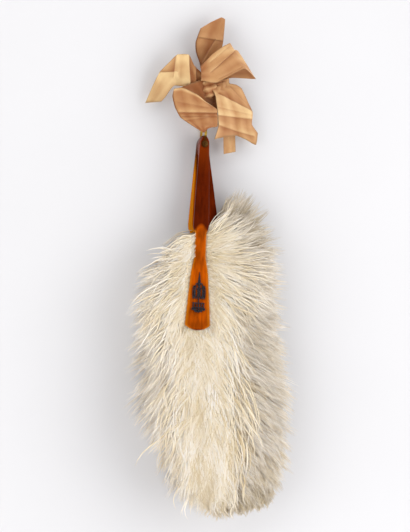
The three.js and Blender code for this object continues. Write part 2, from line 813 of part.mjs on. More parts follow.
const frontLeaf = leafGroup(lastLeaf);
addMesh(frontLeaf, 'front_guard', frontGuardGeometry(), shellAmber);
addMesh(frontLeaf, 'front_guard_plume', plumeGeometry(lastLeaf), plumeCream);
addMesh(frontLeaf, 'guard_mount', mountGeometry(), silver);

counted(innerSticks, (index) => addInnerLeaf(index + 1));

const backLeaf = leafGroup(0);
addMesh(backLeaf, 'back_guard', backGuardGeometry(), shellAmber);
addMesh(backLeaf, 'back_guard_plume', plumeGeometry(0), plumeCream);

addMesh(fan, 'bail', bailGeometry(), gilt);

// The bow is cut back by what it is tied round, so that every piece keeps clear of it.
const pass = passSolid(0).subtract(solidOf(bailStrap(layerGap))).subtract(knotSolid(layerGap));
addMesh(fan, 'ribbon_pass', geometryOf(pass), silk);
addMesh(fan, 'ribbon_knot', geometryOf(knotSolid(0)), silk);

const bowHeart = knotSolid(layerGap).add(passSolid(layerGap)).add(solidOf(bailStrap(layerGap)));
function addRibbon(name, surface, [alongSteps, acrossSteps]) {
  const sheet = solidOf(sheetSolid(surface, alongSteps, acrossSteps, ribbonThickness));
  addMesh(fan, name, geometryOf(sheet.subtract(bowHeart)), silk);
}
bowLoops.forEach((loop) => addRibbon(loop.name, loopSurface(loop), loopSteps));
bowTails.forEach((tail) => addRibbon(tail.name, tailSurface(tail), tailSteps));

export default fan;
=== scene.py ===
"""Looks of the closed feather fan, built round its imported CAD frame.

Lengths in the formulas are millimetres in the frame's own axes: the rivet is Z, the sticks
point to -Y and the front guard faces +Z. They become metres when a mesh is made.
"""

import math

import bmesh
import bpy
import numpy as np
from bpy.props import FloatProperty, FloatVectorProperty, IntProperty, PointerProperty
from mathutils import Matrix, Vector


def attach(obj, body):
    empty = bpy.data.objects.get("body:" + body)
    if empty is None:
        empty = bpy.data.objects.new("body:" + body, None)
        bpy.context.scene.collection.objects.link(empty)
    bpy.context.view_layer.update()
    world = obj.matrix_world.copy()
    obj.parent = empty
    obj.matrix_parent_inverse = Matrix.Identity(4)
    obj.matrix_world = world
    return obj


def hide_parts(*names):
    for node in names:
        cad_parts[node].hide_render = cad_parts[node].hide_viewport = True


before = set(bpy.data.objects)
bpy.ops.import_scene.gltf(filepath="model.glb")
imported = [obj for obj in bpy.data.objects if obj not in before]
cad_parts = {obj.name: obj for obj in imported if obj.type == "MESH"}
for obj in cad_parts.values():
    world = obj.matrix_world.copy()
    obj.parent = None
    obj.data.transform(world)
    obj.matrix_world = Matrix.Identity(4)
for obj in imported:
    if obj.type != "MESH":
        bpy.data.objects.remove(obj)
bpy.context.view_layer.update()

bl_info = {
    "name": "Feather fan",
    "version": (1, 0, 0),
    "blender": (4, 5, 0),
    "location": "3D View > Sidebar > Fan",
    "description": "Dresses the packed feather fan with plumes, shell, gilt, silver and silk",
    "category": "Add Mesh",
}

MM = 0.001

# The sizes of the leaves and their layers, as in the CAD source
INNER_STICKS = 14
LAST_LEAF = INNER_STICKS + 1
STICK_THICKNESS = 0.95
GUARD_THICKNESS = 2.0
BLADE_THICKNESS = 0.5
BLADE_LIFT = 0.25
LAYER_GAP = 0.3
SEAT_GAP = 0.15
STACK_FLOOR = 3.1
ROOT_PITCH = STICK_THICKNESS + LAYER_GAP
STICKS_FLOOR = STACK_FLOOR + GUARD_THICKNESS - STICK_THICKNESS
GUARD_TIP_PITCH = 2.8
HUB_RADIUS = 18.0
GUARD_REACH = 206.0
CALAMUS_REACH = 101.0
VANE_REACH = 114.0
RACHIS_END = 394.0
PLUME_BEND = 35.0
PLUME_CREST = 300.0
PLUME_CROWN = 7.0
EASE_SHARE = 0.75
LEAN_DEGREES = 8.0
HEAD_REACH = 9.3
GUARD_END_HALF = 14.2
GUARD_END_SAG = 5.5

# The front guard's rounded edge, the bevel behind it and the rise of its face, and when two
# points are one, in metres
GUARD_EDGE = 0.28
GUARD_BACK_EDGE = 0.2
GUARD_CROWN = 0.22
WELD_DISTANCE = 1e-6

# Reaches from the rivet where the gorge ends, where the shoulder ends and where the blade
# flares, and half widths of a guard's head, shoulder, neck and flare
GORGE_END = 89.0
SHOULDER_END = 98.0
FLARE_REACHES = (122.0, 150.0)
HEAD_HALF = 5.2
SHOULDER_HALF = 8.8
NECK_HALF = 6.2
FLARE_HALF = 10.2

# The head's point draws in to this half width with the square of the way, and the gorge
# swells ahead of an even slope by this share
HEAD_POINT_HALF = 0.9
GORGE_SWELL = 0.3

# Half widths of a guard and of a stick's blade over their reach from the rivet
GUARD_SHAPE = (
    (0, GORGE_END, SHOULDER_END, SHOULDER_END + 0.5, *FLARE_REACHES, GUARD_REACH),
    (HEAD_HALF, SHOULDER_HALF, SHOULDER_HALF, NECK_HALF, NECK_HALF, FLARE_HALF, GUARD_END_HALF),
)
BLADE_SHAPE = (
    (0, GORGE_END, SHOULDER_END, SHOULDER_END + 0.5, 184, 184.5),
    (HEAD_HALF, 9.8, 9.8, 3.0, 1.6, -6.0),
)

# What barbs leave free below the roof and over the floor of their layer and over the table,
# and from where to where beside a guard or blade they rise or sink to their full room
ROOF_CLEARANCE = 0.05
FLOOR_CLEARANCE = 0.1
TABLE_CLEARANCE = 0.3
FRONT_BESIDE = (0.4, 7)
BACK_BESIDE = (0.8, 10)
INNER_BESIDE = (0.5, 6)

# The front plume's crown, with its least share and the radii where it grows, and the hills on
# it, with the radii where they grow, keep their height past the crown, and end
CROWN_LEAST = 0.4
CROWN_GROWS = (121, 152)
HILL_HEIGHTS = (1.6, 2.8)
HILLS_GROW = (280, 370)
HILLS_STAY = (300, 347)
HILLS_END = (400, 425)

# The waves of the hills: radians per mm along X and along Y, the phase, and how far it sways
HILL_WAVES = ((0.16, 0.03, 1.0, 0.0), (0.31, -0.05, 0.0, 2.2), (0.07, 0.09, 0.4, 0.0))
HILL_SWAY = 0.021

# Barbs over shares of the way along the vane, on the left and on the right: their turn from
# square to the quill, where minus is towards its tip, and their length
BARB_PLACES = (0, 0.02, 0.055, 0.1, 0.2, 0.35, 0.5, 0.65, 0.8, 0.92, 1)
BARB_DEGREES = ((-30, -24, -20, -22, -30, -36, -42, -56, -61, -68, -85),
                (50, 34, 12, -2, -14, -20, -26, -39, -46, -57, -80))
BARB_LENGTHS = ((42, 53, 64, 75, 83, 84, 91, 80, 71, 43, 18),
                (72, 78, 83, 82, 81, 81, 82, 78, 63, 37, 18))

# Each coat of barbs. For its locks: how much steeper they hang than the tables on the left and
# the right, the scatter of that, how far they droop along their way, their share of the full
# length, how far from the quill they may start, the part of the layer's height they lie in,
# the last share of the vane they grow from, and how much shorter they are between the points
# of the plume's end. For its barbs: how many are in a lock, how far they draw in to it, how
# far each strays, and their width in settings' widths. For the colour: the share of grey, and
# the mean tone, with how far locks and barbs differ from it. The mean tones are painted light
# and shade: lower on the top coat, which lies in full light, and higher on the coats beneath it,
# which lie in its shade.
HANG_PLACES = (0, 0.06, 0.12, 0.25, 0.6, 1)
COATS = {
    "under": {
        "hang": ((4,) * 6, (4,) * 6), "scatter": 8, "droop": 24, "length": (0.72, 1.08),
        "band": 1.5, "level": (0.1, 1.0), "last": 1, "lobes": 0.1,
        "barbs": 7, "pull": (0.5, 0.9), "stray": 1, "width": 1,
        "grey": 1.0, "tones": (0.65, 0.6, 0.2),
    },
    "front": {
        "hang": ((8, 12, 18, 20, 26, 26), (20, 22, 28, 36, 40, 36)),
        "scatter": 9, "droop": 20, "length": (0.72, 1.04),
        "band": 6, "level": (0.52, 0.88), "last": 1, "lobes": 0.34,
        "barbs": 6, "pull": (0.4, 0.85), "stray": 1.2, "width": 1.15,
        "grey": 0.5, "tones": (0.63, 0.5, 0.22),
    },
    "over": {
        "hang": ((10, 18, 26, 32, 42, 52), (26, 30, 40, 50, 50, 54)),
        "scatter": 12, "droop": 24, "length": (0.6, 1.02),
        "band": 26, "level": (0.8, 1.0), "last": 0.92, "lobes": 0.34,
        "barbs": 4, "pull": (0.1, 0.65), "stray": 1.9, "width": 1.75,
        "grey": 0.2, "tones": (0.44, 0.35, 0.2),
    },
}

# Locks: the share of the vane where the first ones start on the left and the right, how much
# less the right ones droop by the sticks and over what share, the scatter of the droop, where
# the band they start in grows to its full width, and the points of the plume's end
LOCK_STARTS = (-0.045, -0.02)
SHOULDER_RISE = 34
SHOULDER_SHARE = 0.12
DROOP_SCATTER = 10
BAND_GROWS = (-0.02, 0.1)
LOBE_WIDTH = 15.0
LOBES_GROW = (0.6, 0.9)

# How a barb differs from its lock: its start along the vane and beside it, its turn and droop
# in degrees, each with the most of it, its length, height and width
OWN_START = 0.012
OWN_ASIDE = 0.4
OWN_TURN = (5, 9)
OWN_DROOP = (7, 12)
OWN_LENGTH = (0.75, 1.05)
OWN_LEVEL = 0.05
OWN_WIDTH = (0.7, 1.25)
LEAST_LEVEL = 0.02

# The slow bend of a lock and the quick curl of a barb: how often they turn and how far they
# swing in mm, and how far the bend heaves a lock of a broad band
BEND_TURNS = (0.6, 1.3)
CURL_TURNS = (0.7, 1.8)
BEND_SWING = 2.4
CURL_SWING = 0.9
HEAVE = 0.1
HEAVE_PHASE = 1.3
BROAD_BAND = 2

# Width of a barb over the share run, in a coat and lying loose
BARB_PROFILE = ((0, 0.25, 0.6, 0.85, 1), (0.5, 1, 1, 0.6, 0.1))
LOOSE_PROFILE = ((0, 0.25, 0.6, 0.85, 1), (0.3, 1, 1, 0.6, 0.1))
LOOSE_WIDTH = (0.7, 1.1)

# Grey of the barbs by the sticks, of a barb's own end, and of the plume's end, which is painted
# shade: how much, on the left and the right where it differs, and from where to where. By the
# sticks, the least and the most part of it that a lock and a barb take.
DOWN_GREY = (0.15, 0.9)
DOWN_ENDS = (0.02, 0.13)
DOWN_OF_LOCKS = (0.3, 1)
DOWN_OF_BARBS = (0.6, 1)
END_GREY = (0.1, 0.75)
END_STARTS = (0.72, 1)
TIP_GREY_SHADE = 0.5
TIP_STARTS = (0.78, 1)

# Tone: how much more locks differ further down and where, how much darker the plume's end is
# by painted shade, how much lighter a barb's end is than its root, by painted light at the end
# and painted shade at the root, and where it has the mean, and how much painted shade darkens
# the hollows between the hills, with painted light on the hills, at first and further down
LOCK_CONTRAST = (1, 1.9)
LOCKS_DIFFER = (0.3, 0.7)
TIP_SHADE = 0.3
TIP_SHADES = (0.72, 1)
END_PAINTED_LIGHT = 0.45
MEAN_PLACE = 0.55
HOLLOW_SHADE = (0.2, 0.45)
HOLLOWS_DEEPEN = (0.5, 0.85)

# The felted middle of a plume: how much steeper it hangs and how high it lies in its layer,
# on the front plume and on the others, and its share of the barbs' length and where that grows
WEB_HANG = (12, 4)
WEB_LEVEL = (0.7, 0.38)
WEB_SHARE = (0.2, 0.7)
WEB_GROWS = (0, 0.22)

# How ragged its sides are, how rough its face is, where its two faces lie at the sides and
# how low the back one lies inside, and over what shares of the vane it fills and ends. Its
# red and its mean green, which is low for painted shade in the depth, how much painted light
# the roughness gives its higher points, and its blue by the sticks.
WEB_RAGGED = 0.1
WEB_ROUGH = 0.05
WEB_SIDES = (0.35, 0.33)
WEB_BACK = 0.12
WEB_FILLS = (0, 0.05)
WEB_ENDS = (0.93, 1)
WEB_COLOURS = (0.3, 0.05)
WEB_ROUGH_PAINTED_LIGHT = 2
WEB_GREY = (0.1, 0.8)

# The quill: its half width at the vane and at its tip, the power by which it thins, the share
# of it at the cut end, its height over its width, the most of its layer that it takes, and
# its place in the barbs' colours
QUILL_HALVES = (1.7, 0.35)
QUILL_THINS = 0.6
QUILL_CUT = 0.6
QUILL_FLATNESS = 0.7
QUILL_ROOM = 0.42
QUILL_TINT = (0.35, 0.35, 0.0, 1.0)

# Loose barbs that hook over the left edge of the front guard's neck: the reaches of their
# tufts and the scatter of that, and where across they start, with how much further in
HOOK_TUFTS = (101, 105, 109, 114, 119, 124)
HOOK_SCATTER = 0.9
HOOK_STARTS = (-5.9, 1.2)
HOOK_WAVE = 0.8

# For the hooked barbs and for those that curl over the right shoulder: mean and scatter of
# the turn and of the droop in degrees, the length, and the rise over the guard's front face
# for hooks and over its back face for curls
HOOKS = {"turn": (-52, 10), "droop": (20, 8), "length": (14, 42), "rise": (0.3, 0.9)}
CURLS = {"turn": (46, 7), "droop": (38, 12), "length": (18, 40), "rise": (0.3, 1.9)}
CURL_BOX = ((6.6, 8.6), (-101, -95))

# Where the random draws of the plumes and of the bow start, and points along a barb
PLUME_SEED = 400
FRONT_SEED = 499
BOW_SEED = 77
BARB_STEPS = 7
OVER_STEPS = 10


def colour(code):
    """Linear RGB of an sRGB hex code: a twelfth of a dark value, the 2.4 power of the rest."""
    parts = [int(code[place:place + 2], 16) / 255 for place in (1, 3, 5)]
    return tuple(p / 12.92 if p <= 0.04045 else ((p + 0.055) / 1.055) ** 2.4 for p in parts)


def shade(code):
    """An opaque colour for a ramp from an sRGB hex code."""
    return (*colour(code), 1.0)


def lerp(low, high, share):
    """The value a share of the way from low to high."""
    return low + (high - low) * share


def smooth(value, low, high):
    """The smooth step 3 s^2 - 2 s^3 of the share s of the way from low to high."""
    share = np.clip((value - low) / (high - low), 0, 1)
    return share * share * (3 - 2 * share)


# Materials

# Where a colour mix has its two colours and its result
COLOUR_A, COLOUR_B, COLOUR_OUT = 6, 7, 2


def add_node(tree, kind, sockets=None, links=None, stops=None, **settings):
    """Adds a node with its settings, socket values, incoming links and ramp stops."""
    item = tree.nodes.new(kind)
    for name, value in settings.items():
        setattr(item, name, value)
    for name, value in (sockets or {}).items():
        item.inputs[name].default_value = value
    for name, (source, output) in (links or {}).items():
        tree.links.new(source.outputs[output], item.inputs[name])
    for index, (place, tint) in enumerate(stops or ()):
        ramp = item.color_ramp.elements
        stop = ramp[index] if index < 2 else ramp.new(place)
        stop.position = place
        stop.color = tint
    return item


def blended(tree, share, first, second):
    """A colour mix: each of share, first and second is a value or (node, output)."""
    item = add_node(tree, "ShaderNodeMix", data_type="RGBA")
    for place, source in ((0, share), (COLOUR_A, first), (COLOUR_B, second)):
        if isinstance(source, tuple) and isinstance(source[0], bpy.types.Node):
            tree.links.new(source[0].outputs[source[1]], item.inputs[place])
        else:
            item.inputs[place].default_value = source
    return item


def new_material(name, sockets):
    """A material with one Principled shader, whose even values sit on its own sockets."""
    material = bpy.data.materials.new(name)
    material.use_nodes = True
    tree = material.node_tree
    tree.nodes.clear()
    shader = add_node(tree, "ShaderNodeBsdfPrincipled", sockets)
    add_node(tree, "ShaderNodeOutputMaterial", links={"Surface": (shader, "BSDF")})
    return material, tree, shader


def bump_from(tree, shader, source, output, strength, distance):
    """Feeds a height to the shader's normal. The distance is the height's real size in mm."""
    bump = add_node(
        tree, "ShaderNodeBump", {"Strength": strength, "Distance": distance * MM},
        {"Height": (source, output)},
    )
    tree.links.new(bump.outputs["Normal"], shader.inputs["Normal"])


def plume_material(settings):
    """Dressed ostrich barbs: matte keratin threads, cream at the tips, with painted shade of tan
    in the depth.
    """
    material, tree, shader = new_material("ostrich_barbs", {
        "Roughness": 0.7, "Specular IOR Level": 0.3, "Subsurface Weight": 0.35,
        "Subsurface Radius": (1.0, 0.85, 0.6), "Subsurface Scale": 0.0015,
    })
    strand = add_node(tree, "ShaderNodeAttribute", attribute_name="strand")
    split = add_node(tree, "ShaderNodeSeparateColor", links={"Color": (strand, "Color")})
    # Along a barb: painted shade of tan at its root by the quill, cream further out
    along = add_node(
        tree, "ShaderNodeValToRGB", links={"Fac": (split, "Red")},
        stops=[(0.0, (*settings.root, 1)), (1.0, (*settings.tip, 1)),
               (0.45, (*settings.cream, 1))],
    )
    # By tone: its tan end carries the painted shade of the hollows and of the plume's end, with
    # random tone
    lock = add_node(
        tree, "ShaderNodeValToRGB", links={"Fac": (split, "Green")},
        stops=[(0.0, shade("#D2B98F")), (1.0, shade("#F9F1E6")), (0.45, shade("#EFDEC1"))],
    )
    fluff = blended(tree, 0.7, (along, "Color"), (lock, "Color"))
    full = blended(tree, (split, "Blue"), (fluff, COLOUR_OUT), (*settings.down, 1))
    tree.links.new(full.outputs[COLOUR_OUT], shader.inputs["Base Color"])
    return material


# Meshes

def grid_quads(rows, columns, close=False):
    """Quads over points numbered row by row; close joins the last column to the first."""
    across = columns if close else columns - 1
    start = np.arange(rows - 1)[:, None] * columns
    place = np.arange(across)[None, :]
    here = start + place
    beside = start + (place + 1) % columns
    return np.stack([here, beside, beside + columns, here + columns], -1).reshape(-1, 4)


def joined(parts):
    """One part of several: points, quads, triangles and colours run on one after another."""
    points, quads, triangles, tints = [], [], [], []
    count = 0
    for part in parts:
        points.append(part[0])
        quads.append(np.asarray(part[1], int).reshape(-1, 4) + count)
        triangles.append(np.asarray(part[2], int).reshape(-1, 3) + count)
        tints.append(part[3])
        count += len(part[0])
    return tuple(np.concatenate(group) for group in (points, quads, triangles, tints))


def add_piece(name, part, material, smooth_faces=True, attribute=None, weld=False):
    """Makes an object at the origin from points in mm, quads, triangles and point colours.
    With weld, points that share a place become one and the faces between them go."""
    points, quads, triangles, tints = part
    quads = np.asarray(quads, np.int32).reshape(-1, 4)
    triangles = np.asarray(triangles, np.int32).reshape(-1, 3)
    corners = np.concatenate([quads.ravel(), triangles.ravel()])
    starts = np.concatenate([
        np.arange(len(quads)) * 4, len(quads) * 4 + np.arange(len(triangles)) * 3,
    ])
    mesh = bpy.data.meshes.new(name)
    mesh.vertices.add(len(points))
    mesh.vertices.foreach_set("co", (np.asarray(points) * MM).astype(np.float32).ravel())
    mesh.loops.add(len(corners))
    mesh.loops.foreach_set("vertex_index", corners.astype(np.int32))
    mesh.polygons.add(len(starts))
    mesh.polygons.foreach_set("loop_start", starts.astype(np.int32))
    mesh.update(calc_edges=True)
    mesh.polygons.foreach_set("use_smooth", np.full(len(starts), smooth_faces))
    if attribute:
        layer = mesh.attributes.new(attribute, "FLOAT_COLOR", "POINT")
        layer.data.foreach_set("color", np.asarray(tints, np.float32).ravel())
    if weld:
        form = bmesh.new()
        form.from_mesh(mesh)
        bmesh.ops.remove_doubles(form, verts=form.verts, dist=WELD_DISTANCE)
        form.to_mesh(mesh)
        form.free()
    if mesh.validate():
        raise RuntimeError(f"{name} has faces that Blender had to mend")
    mesh.materials.append(material)
    piece = bpy.data.objects.new(name, mesh)
    bpy.context.scene.collection.objects.link(piece)
    return piece


# Layers of the leaves

def spread(radius):
    """Height of a hyperbola that is flat at the rivet: hypot(radius, hub) less the hub."""
    return np.hypot(radius, HUB_RADIUS) - HUB_RADIUS


def pitch_at(radius):
    """Layer height over the radius: it grows with spread and eases off past the guards."""
    slope = (GUARD_TIP_PITCH - ROOT_PITCH) / spread(GUARD_REACH)
    past = np.maximum(0, radius - GUARD_REACH)
    eased = past * past / (2 * (RACHIS_END - GUARD_REACH))
    return ROOT_PITCH + slope * (spread(radius) - EASE_SHARE * eased)


def layer_floor(leaf, radius):
    """Height of a layer's floor: the sticks' floor and a pitch for each leaf beneath."""
    return STICKS_FLOOR + leaf * pitch_at(radius)


def layer_roof(leaf, radius):
    """Height of a layer's roof: the gap under the next layer's floor."""
    return STICKS_FLOOR + (leaf + 1) * pitch_at(radius) - LAYER_GAP


def guard_floor(radius):
    """Height of the front guard's back: the top of the layers less the pitch at the rivet."""
    return STICKS_FLOOR + (LAST_LEAF + 1) * pitch_at(radius) - ROOT_PITCH


def lean_of(leaf):
    """Turn of a plume in radians: by the sine of its share of the stack, most in the middle."""
    return math.radians(LEAN_DEGREES) * math.sin(math.pi * leaf / LAST_LEAF)


def turned(points, angle):
    """Points turned about the rivet by an angle in radians."""
    x, y, z = points[..., 0], points[..., 1], points[..., 2]
    c, s = math.cos(angle), math.sin(angle)
    return np.stack([x * c - y * s, x * s + y * c, z], -1)


def ripples(x, y):
    """Hills and hollows between -1 and 1 that run down and out from the quill.

    The mean of the hills' waves: each is the sine of its radians along X and Y and its
    phase, which sways with a slow sine of Y."""
    waves = [np.sin(along_x * x + along_y * y + phase + sway * np.sin(HILL_SWAY * y))
             for along_x, along_y, phase, sway in HILL_WAVES]
    return sum(waves) / len(waves)


def plume_room(leaf, x, y):
    """Lowest and highest place for a barb of a leaf over points of its plane.

    Each face blends by the distance beside the guard or blade: barbs stay on a blade or
    under the front guard near the middle, and fill their layer, with a crown on the front
    one, further out."""
    radius = np.hypot(x, y)
    shape = GUARD_SHAPE if leaf in (0, LAST_LEAF) else BLADE_SHAPE
    beside = np.maximum(np.abs(x) - np.interp(-y, *shape), -y - GUARD_REACH)
    roof = layer_roof(leaf, radius)
    if leaf == LAST_LEAF:
        crown = (lerp(CROWN_LEAST, 1, smooth(radius, *CROWN_GROWS))
                 * (1 - smooth(radius, PLUME_CREST, RACHIS_END)))
        hills = lerp(*HILL_HEIGHTS, smooth(radius, *HILLS_GROW))
        hills = hills * (1 - smooth(radius, *HILLS_END))
        hills *= np.minimum(1, 2 * crown + smooth(radius, *HILLS_STAY))
        crest = roof + (PLUME_CROWN - HILL_HEIGHTS[0]) * crown + hills * ripples(x, y)
        under = guard_floor(radius) - SEAT_GAP
        return (layer_floor(leaf, radius) + FLOOR_CLEARANCE,
                lerp(under, crest, smooth(beside, *FRONT_BESIDE)))
    if leaf == 0:
        seat = STACK_FLOOR + GUARD_THICKNESS + SEAT_GAP
        return lerp(seat, TABLE_CLEARANCE, smooth(beside, *BACK_BESIDE)), roof - ROOF_CLEARANCE
    floor = layer_floor(leaf, radius)
    seat = floor + BLADE_LIFT + BLADE_THICKNESS + SEAT_GAP
    return (lerp(seat, floor + FLOOR_CLEARANCE, smooth(beside, *INNER_BESIDE)),
            roof - ROOF_CLEARANCE)


# Plumes

def unit(vectors):
    """Vectors over their length, which is taken as 1e-9 at least."""
    return vectors / np.maximum(np.linalg.norm(vectors, axis=-1, keepdims=True), 1e-9)


def strand_tubes(paths, halves, tints):
    """Flat three-sided tubes along many paths at once, each drawn to a point at its end.

    A ring has a corner at each side and one on top, across and over the path's direction."""
    count, steps, _ = paths.shape
    ahead = unit(np.gradient(paths, axis=1))
    side = unit(np.stack([-ahead[..., 1], ahead[..., 0], np.zeros((count, steps))], -1))
    over = np.cross(ahead, side)
    wide = halves[..., None]
    rings = np.stack([paths + side * wide, paths + over * wide * 0.5, paths - side * wide], 2)
    body = rings[:, :-1].reshape(count, -1, 3)
    points = np.concatenate([body, paths[:, -1:]], 1)
    size = points.shape[1]
    tip = size - 1
    last = tip - 3
    offsets = (np.arange(count) * size)[:, None, None]
    quads = grid_quads(steps - 1, 3, True)[None] + offsets
    ends = np.array([[0, 2, 1], [last, last + 1, tip], [last + 1, last + 2, tip],
                     [last + 2, last, tip]])[None] + offsets
    tints = np.concatenate([np.repeat(tints[:, :-1], 3, axis=1), tints[:, -1:]], 1)
    return points.reshape(-1, 3), quads.reshape(-1, 4), ends.reshape(-1, 3), tints.reshape(-1, 4)


def quill_at(along):
    """Where the quill is over the share of the vane: it bends out with the square of it."""
    share = np.clip(along, 0, 1)
    return PLUME_BEND * share ** 2, -lerp(VANE_REACH, RACHIS_END, np.minimum(along, 1))


def shaft(leaf, sides=8, steps=40):
    """The quill: a flattened tube down the middle of its layer that thins to its tip."""
    reach = np.concatenate([
        [CALAMUS_REACH, CALAMUS_REACH + 3], np.linspace(VANE_REACH, RACHIS_END, steps)])
    along = np.clip((reach - VANE_REACH) / (RACHIS_END - VANE_REACH), 0, 1)
    x, _ = quill_at(along)
    low, high = plume_room(leaf, x, -reach)
    middle = (low + high) / 2
    half = lerp(*QUILL_HALVES, along ** QUILL_THINS)
    half = half * np.where(reach == CALAMUS_REACH, QUILL_CUT, 1)
    tall = np.minimum(half * QUILL_FLATNESS, (high - low) * QUILL_ROOM)
    turn = np.linspace(0, 2 * math.pi, sides, endpoint=False)[None]
    points = np.stack([
        x[:, None] + half[:, None] * np.cos(turn),
        np.repeat(-reach[:, None], sides, 1),
        middle[:, None] + tall[:, None] * np.sin(turn),
    ], -1).reshape(-1, 3)
    quads = grid_quads(len(reach), sides, True)
    last = len(points) - sides
    fan = np.arange(1, sides - 1)
    caps = np.concatenate([
        np.stack([np.zeros_like(fan), fan + 1, fan], -1),
        np.stack([np.full_like(fan, last), last + fan, last + fan + 1], -1),
    ])
    tints = np.tile(QUILL_TINT, (len(points), 1))
    return points, quads, caps, tints


def hung(turn, hang):
    """A turn lowered by hang degrees, and by less within 60 degrees of straight down."""
    return turn - hang * np.clip((turn + 90) / 60, 0, 1)


def at_side(left, places, tables, along):
    """A value over the share of the vane, from the left table or from the right one."""
    return np.where(left, *(np.interp(along, places, table) for table in tables))


def web(leaf, rng, rows=64, columns=26):
    """The felted middle of a plume, where the fluff of neighbouring barbs runs together.

    Its rows follow the chords of the barbs for the web's share of their length. Both faces
    lie in the plume's layer. They draw apart with one less the cube of the share across, and
    nearly meet at the sides and at both ends, where a rim joins them."""
    along, across = np.meshgrid(np.linspace(0, 1, rows), np.linspace(-1, 1, columns),
                                indexing="ij")
    left = across < 0
    inner = int(leaf != LAST_LEAF)
    turn = np.radians(hung(at_side(left, BARB_PLACES, BARB_DEGREES, along), WEB_HANG[inner]))
    full = at_side(left, BARB_PLACES, BARB_LENGTHS, along)
    shape = (rows, columns)
    length = (full * np.abs(across) * (1 - WEB_RAGGED * rng.random(shape))
              * lerp(*WEB_SHARE, smooth(along, *WEB_GROWS)))
    quill_x, quill_y = quill_at(along)
    x = quill_x + np.sign(across) * length * np.cos(turn)
    y = length * np.sin(turn) + quill_y
    low, high = plume_room(leaf, x, y)
    filled = ((1 - np.abs(across) ** 3) * smooth(along, *WEB_FILLS)
              * (1 - smooth(along, *WEB_ENDS)))
    rough = rng.normal(0, WEB_ROUGH, shape)
    front_side, back_side = WEB_SIDES
    top = lerp(low, high, lerp(front_side, WEB_LEVEL[inner] + rough, filled))
    bottom = lerp(low, high, lerp(back_side, WEB_BACK, filled))
    faces = [np.stack([x, y, top], -1), np.stack([x, y, bottom], -1)]
    red, green = WEB_COLOURS
    # Painted shade: a low tone for the web's depth, with painted light on its higher points
    tint = np.stack([
        np.full(shape, red), np.clip(green + WEB_ROUGH_PAINTED_LIGHT * rough, 0, 1),
        np.where(left, *WEB_GREY) * (1 - smooth(along, *DOWN_ENDS)), np.ones(shape),
    ], -1)
    quads = grid_quads(rows, columns)
    size = rows * columns
    rim = np.concatenate([
        np.arange(columns), np.arange(1, rows) * columns + columns - 1,
        np.arange(size - 2, size - columns - 1, -1), np.arange(rows - 2, 0, -1) * columns,
    ])
    after = np.roll(rim, -1)
    side = np.stack([after, rim, rim + size, after + size], -1)
    points = np.concatenate([face.reshape(-1, 3) for face in faces])
    return (points, np.concatenate([quads[:, ::-1], quads + size, side]), [],
            np.tile(tint.reshape(-1, 4), (2, 1)))


def barb_paths(start, turn, droop, length, side, steps):
    """Plan paths from start points: the direction falls by droop from one end to the other,
    half before and half after the mean turn, and the steps add up to the length."""
    share = np.linspace(0, 1, steps)
    angle = np.radians(turn[..., None] + droop[..., None] * (0.5 - share))
    step = (length / (steps - 1))[..., None]
    move = np.stack([side[..., None] * np.cos(angle) * step, np.sin(angle) * step], -1)
    move = (move + np.roll(move, 1, axis=-2)) / 2
    move[..., 0, :] = 0
    return start[..., None, :] + np.cumsum(move, axis=-2)


def lock_plans(coat, locks, rng):
    """How each lock of a coat leaves the quill: its side, the share of the vane, its turn,
    length and droop, how high in the layer it lies and how far beside the quill it starts.

    The plume's end is in points: there a lock loses the coat's part of its length by a
    cosine of where across the plume it ends."""
    side = np.where(rng.random(locks) < 0.5, -1.0, 1.0)
    left = side < 0
    run = (np.arange(locks) + rng.random(locks)) / locks
    along = lerp(np.where(left, *LOCK_STARTS), coat["last"], run)
    turn = hung(at_side(left, BARB_PLACES, BARB_DEGREES, along),
                at_side(left, HANG_PLACES, coat["hang"], along))
    turn = turn + rng.normal(0, coat["scatter"], locks)
    full = at_side(left, BARB_PLACES, BARB_LENGTHS, along)
    length = full * rng.uniform(*coat["length"], locks)
    end = quill_at(along)[0] + side * length * np.cos(np.radians(turn))
    lobe = 0.5 - 0.5 * np.cos(end * 2 * math.pi / LOBE_WIDTH)
    length *= 1 - coat["lobes"] * lobe * smooth(along, *LOBES_GROW)
    droop = rng.normal(coat["droop"], DROOP_SCATTER, locks)
    droop -= np.where(left, 0, SHOULDER_RISE * (1 - smooth(along, 0, SHOULDER_SHARE)))
    level = rng.uniform(*coat["level"], locks)
    aside = rng.normal(0, coat["band"] / 2, locks) * smooth(along, *BAND_GROWS)
    return side, along, turn, length, droop, level, aside


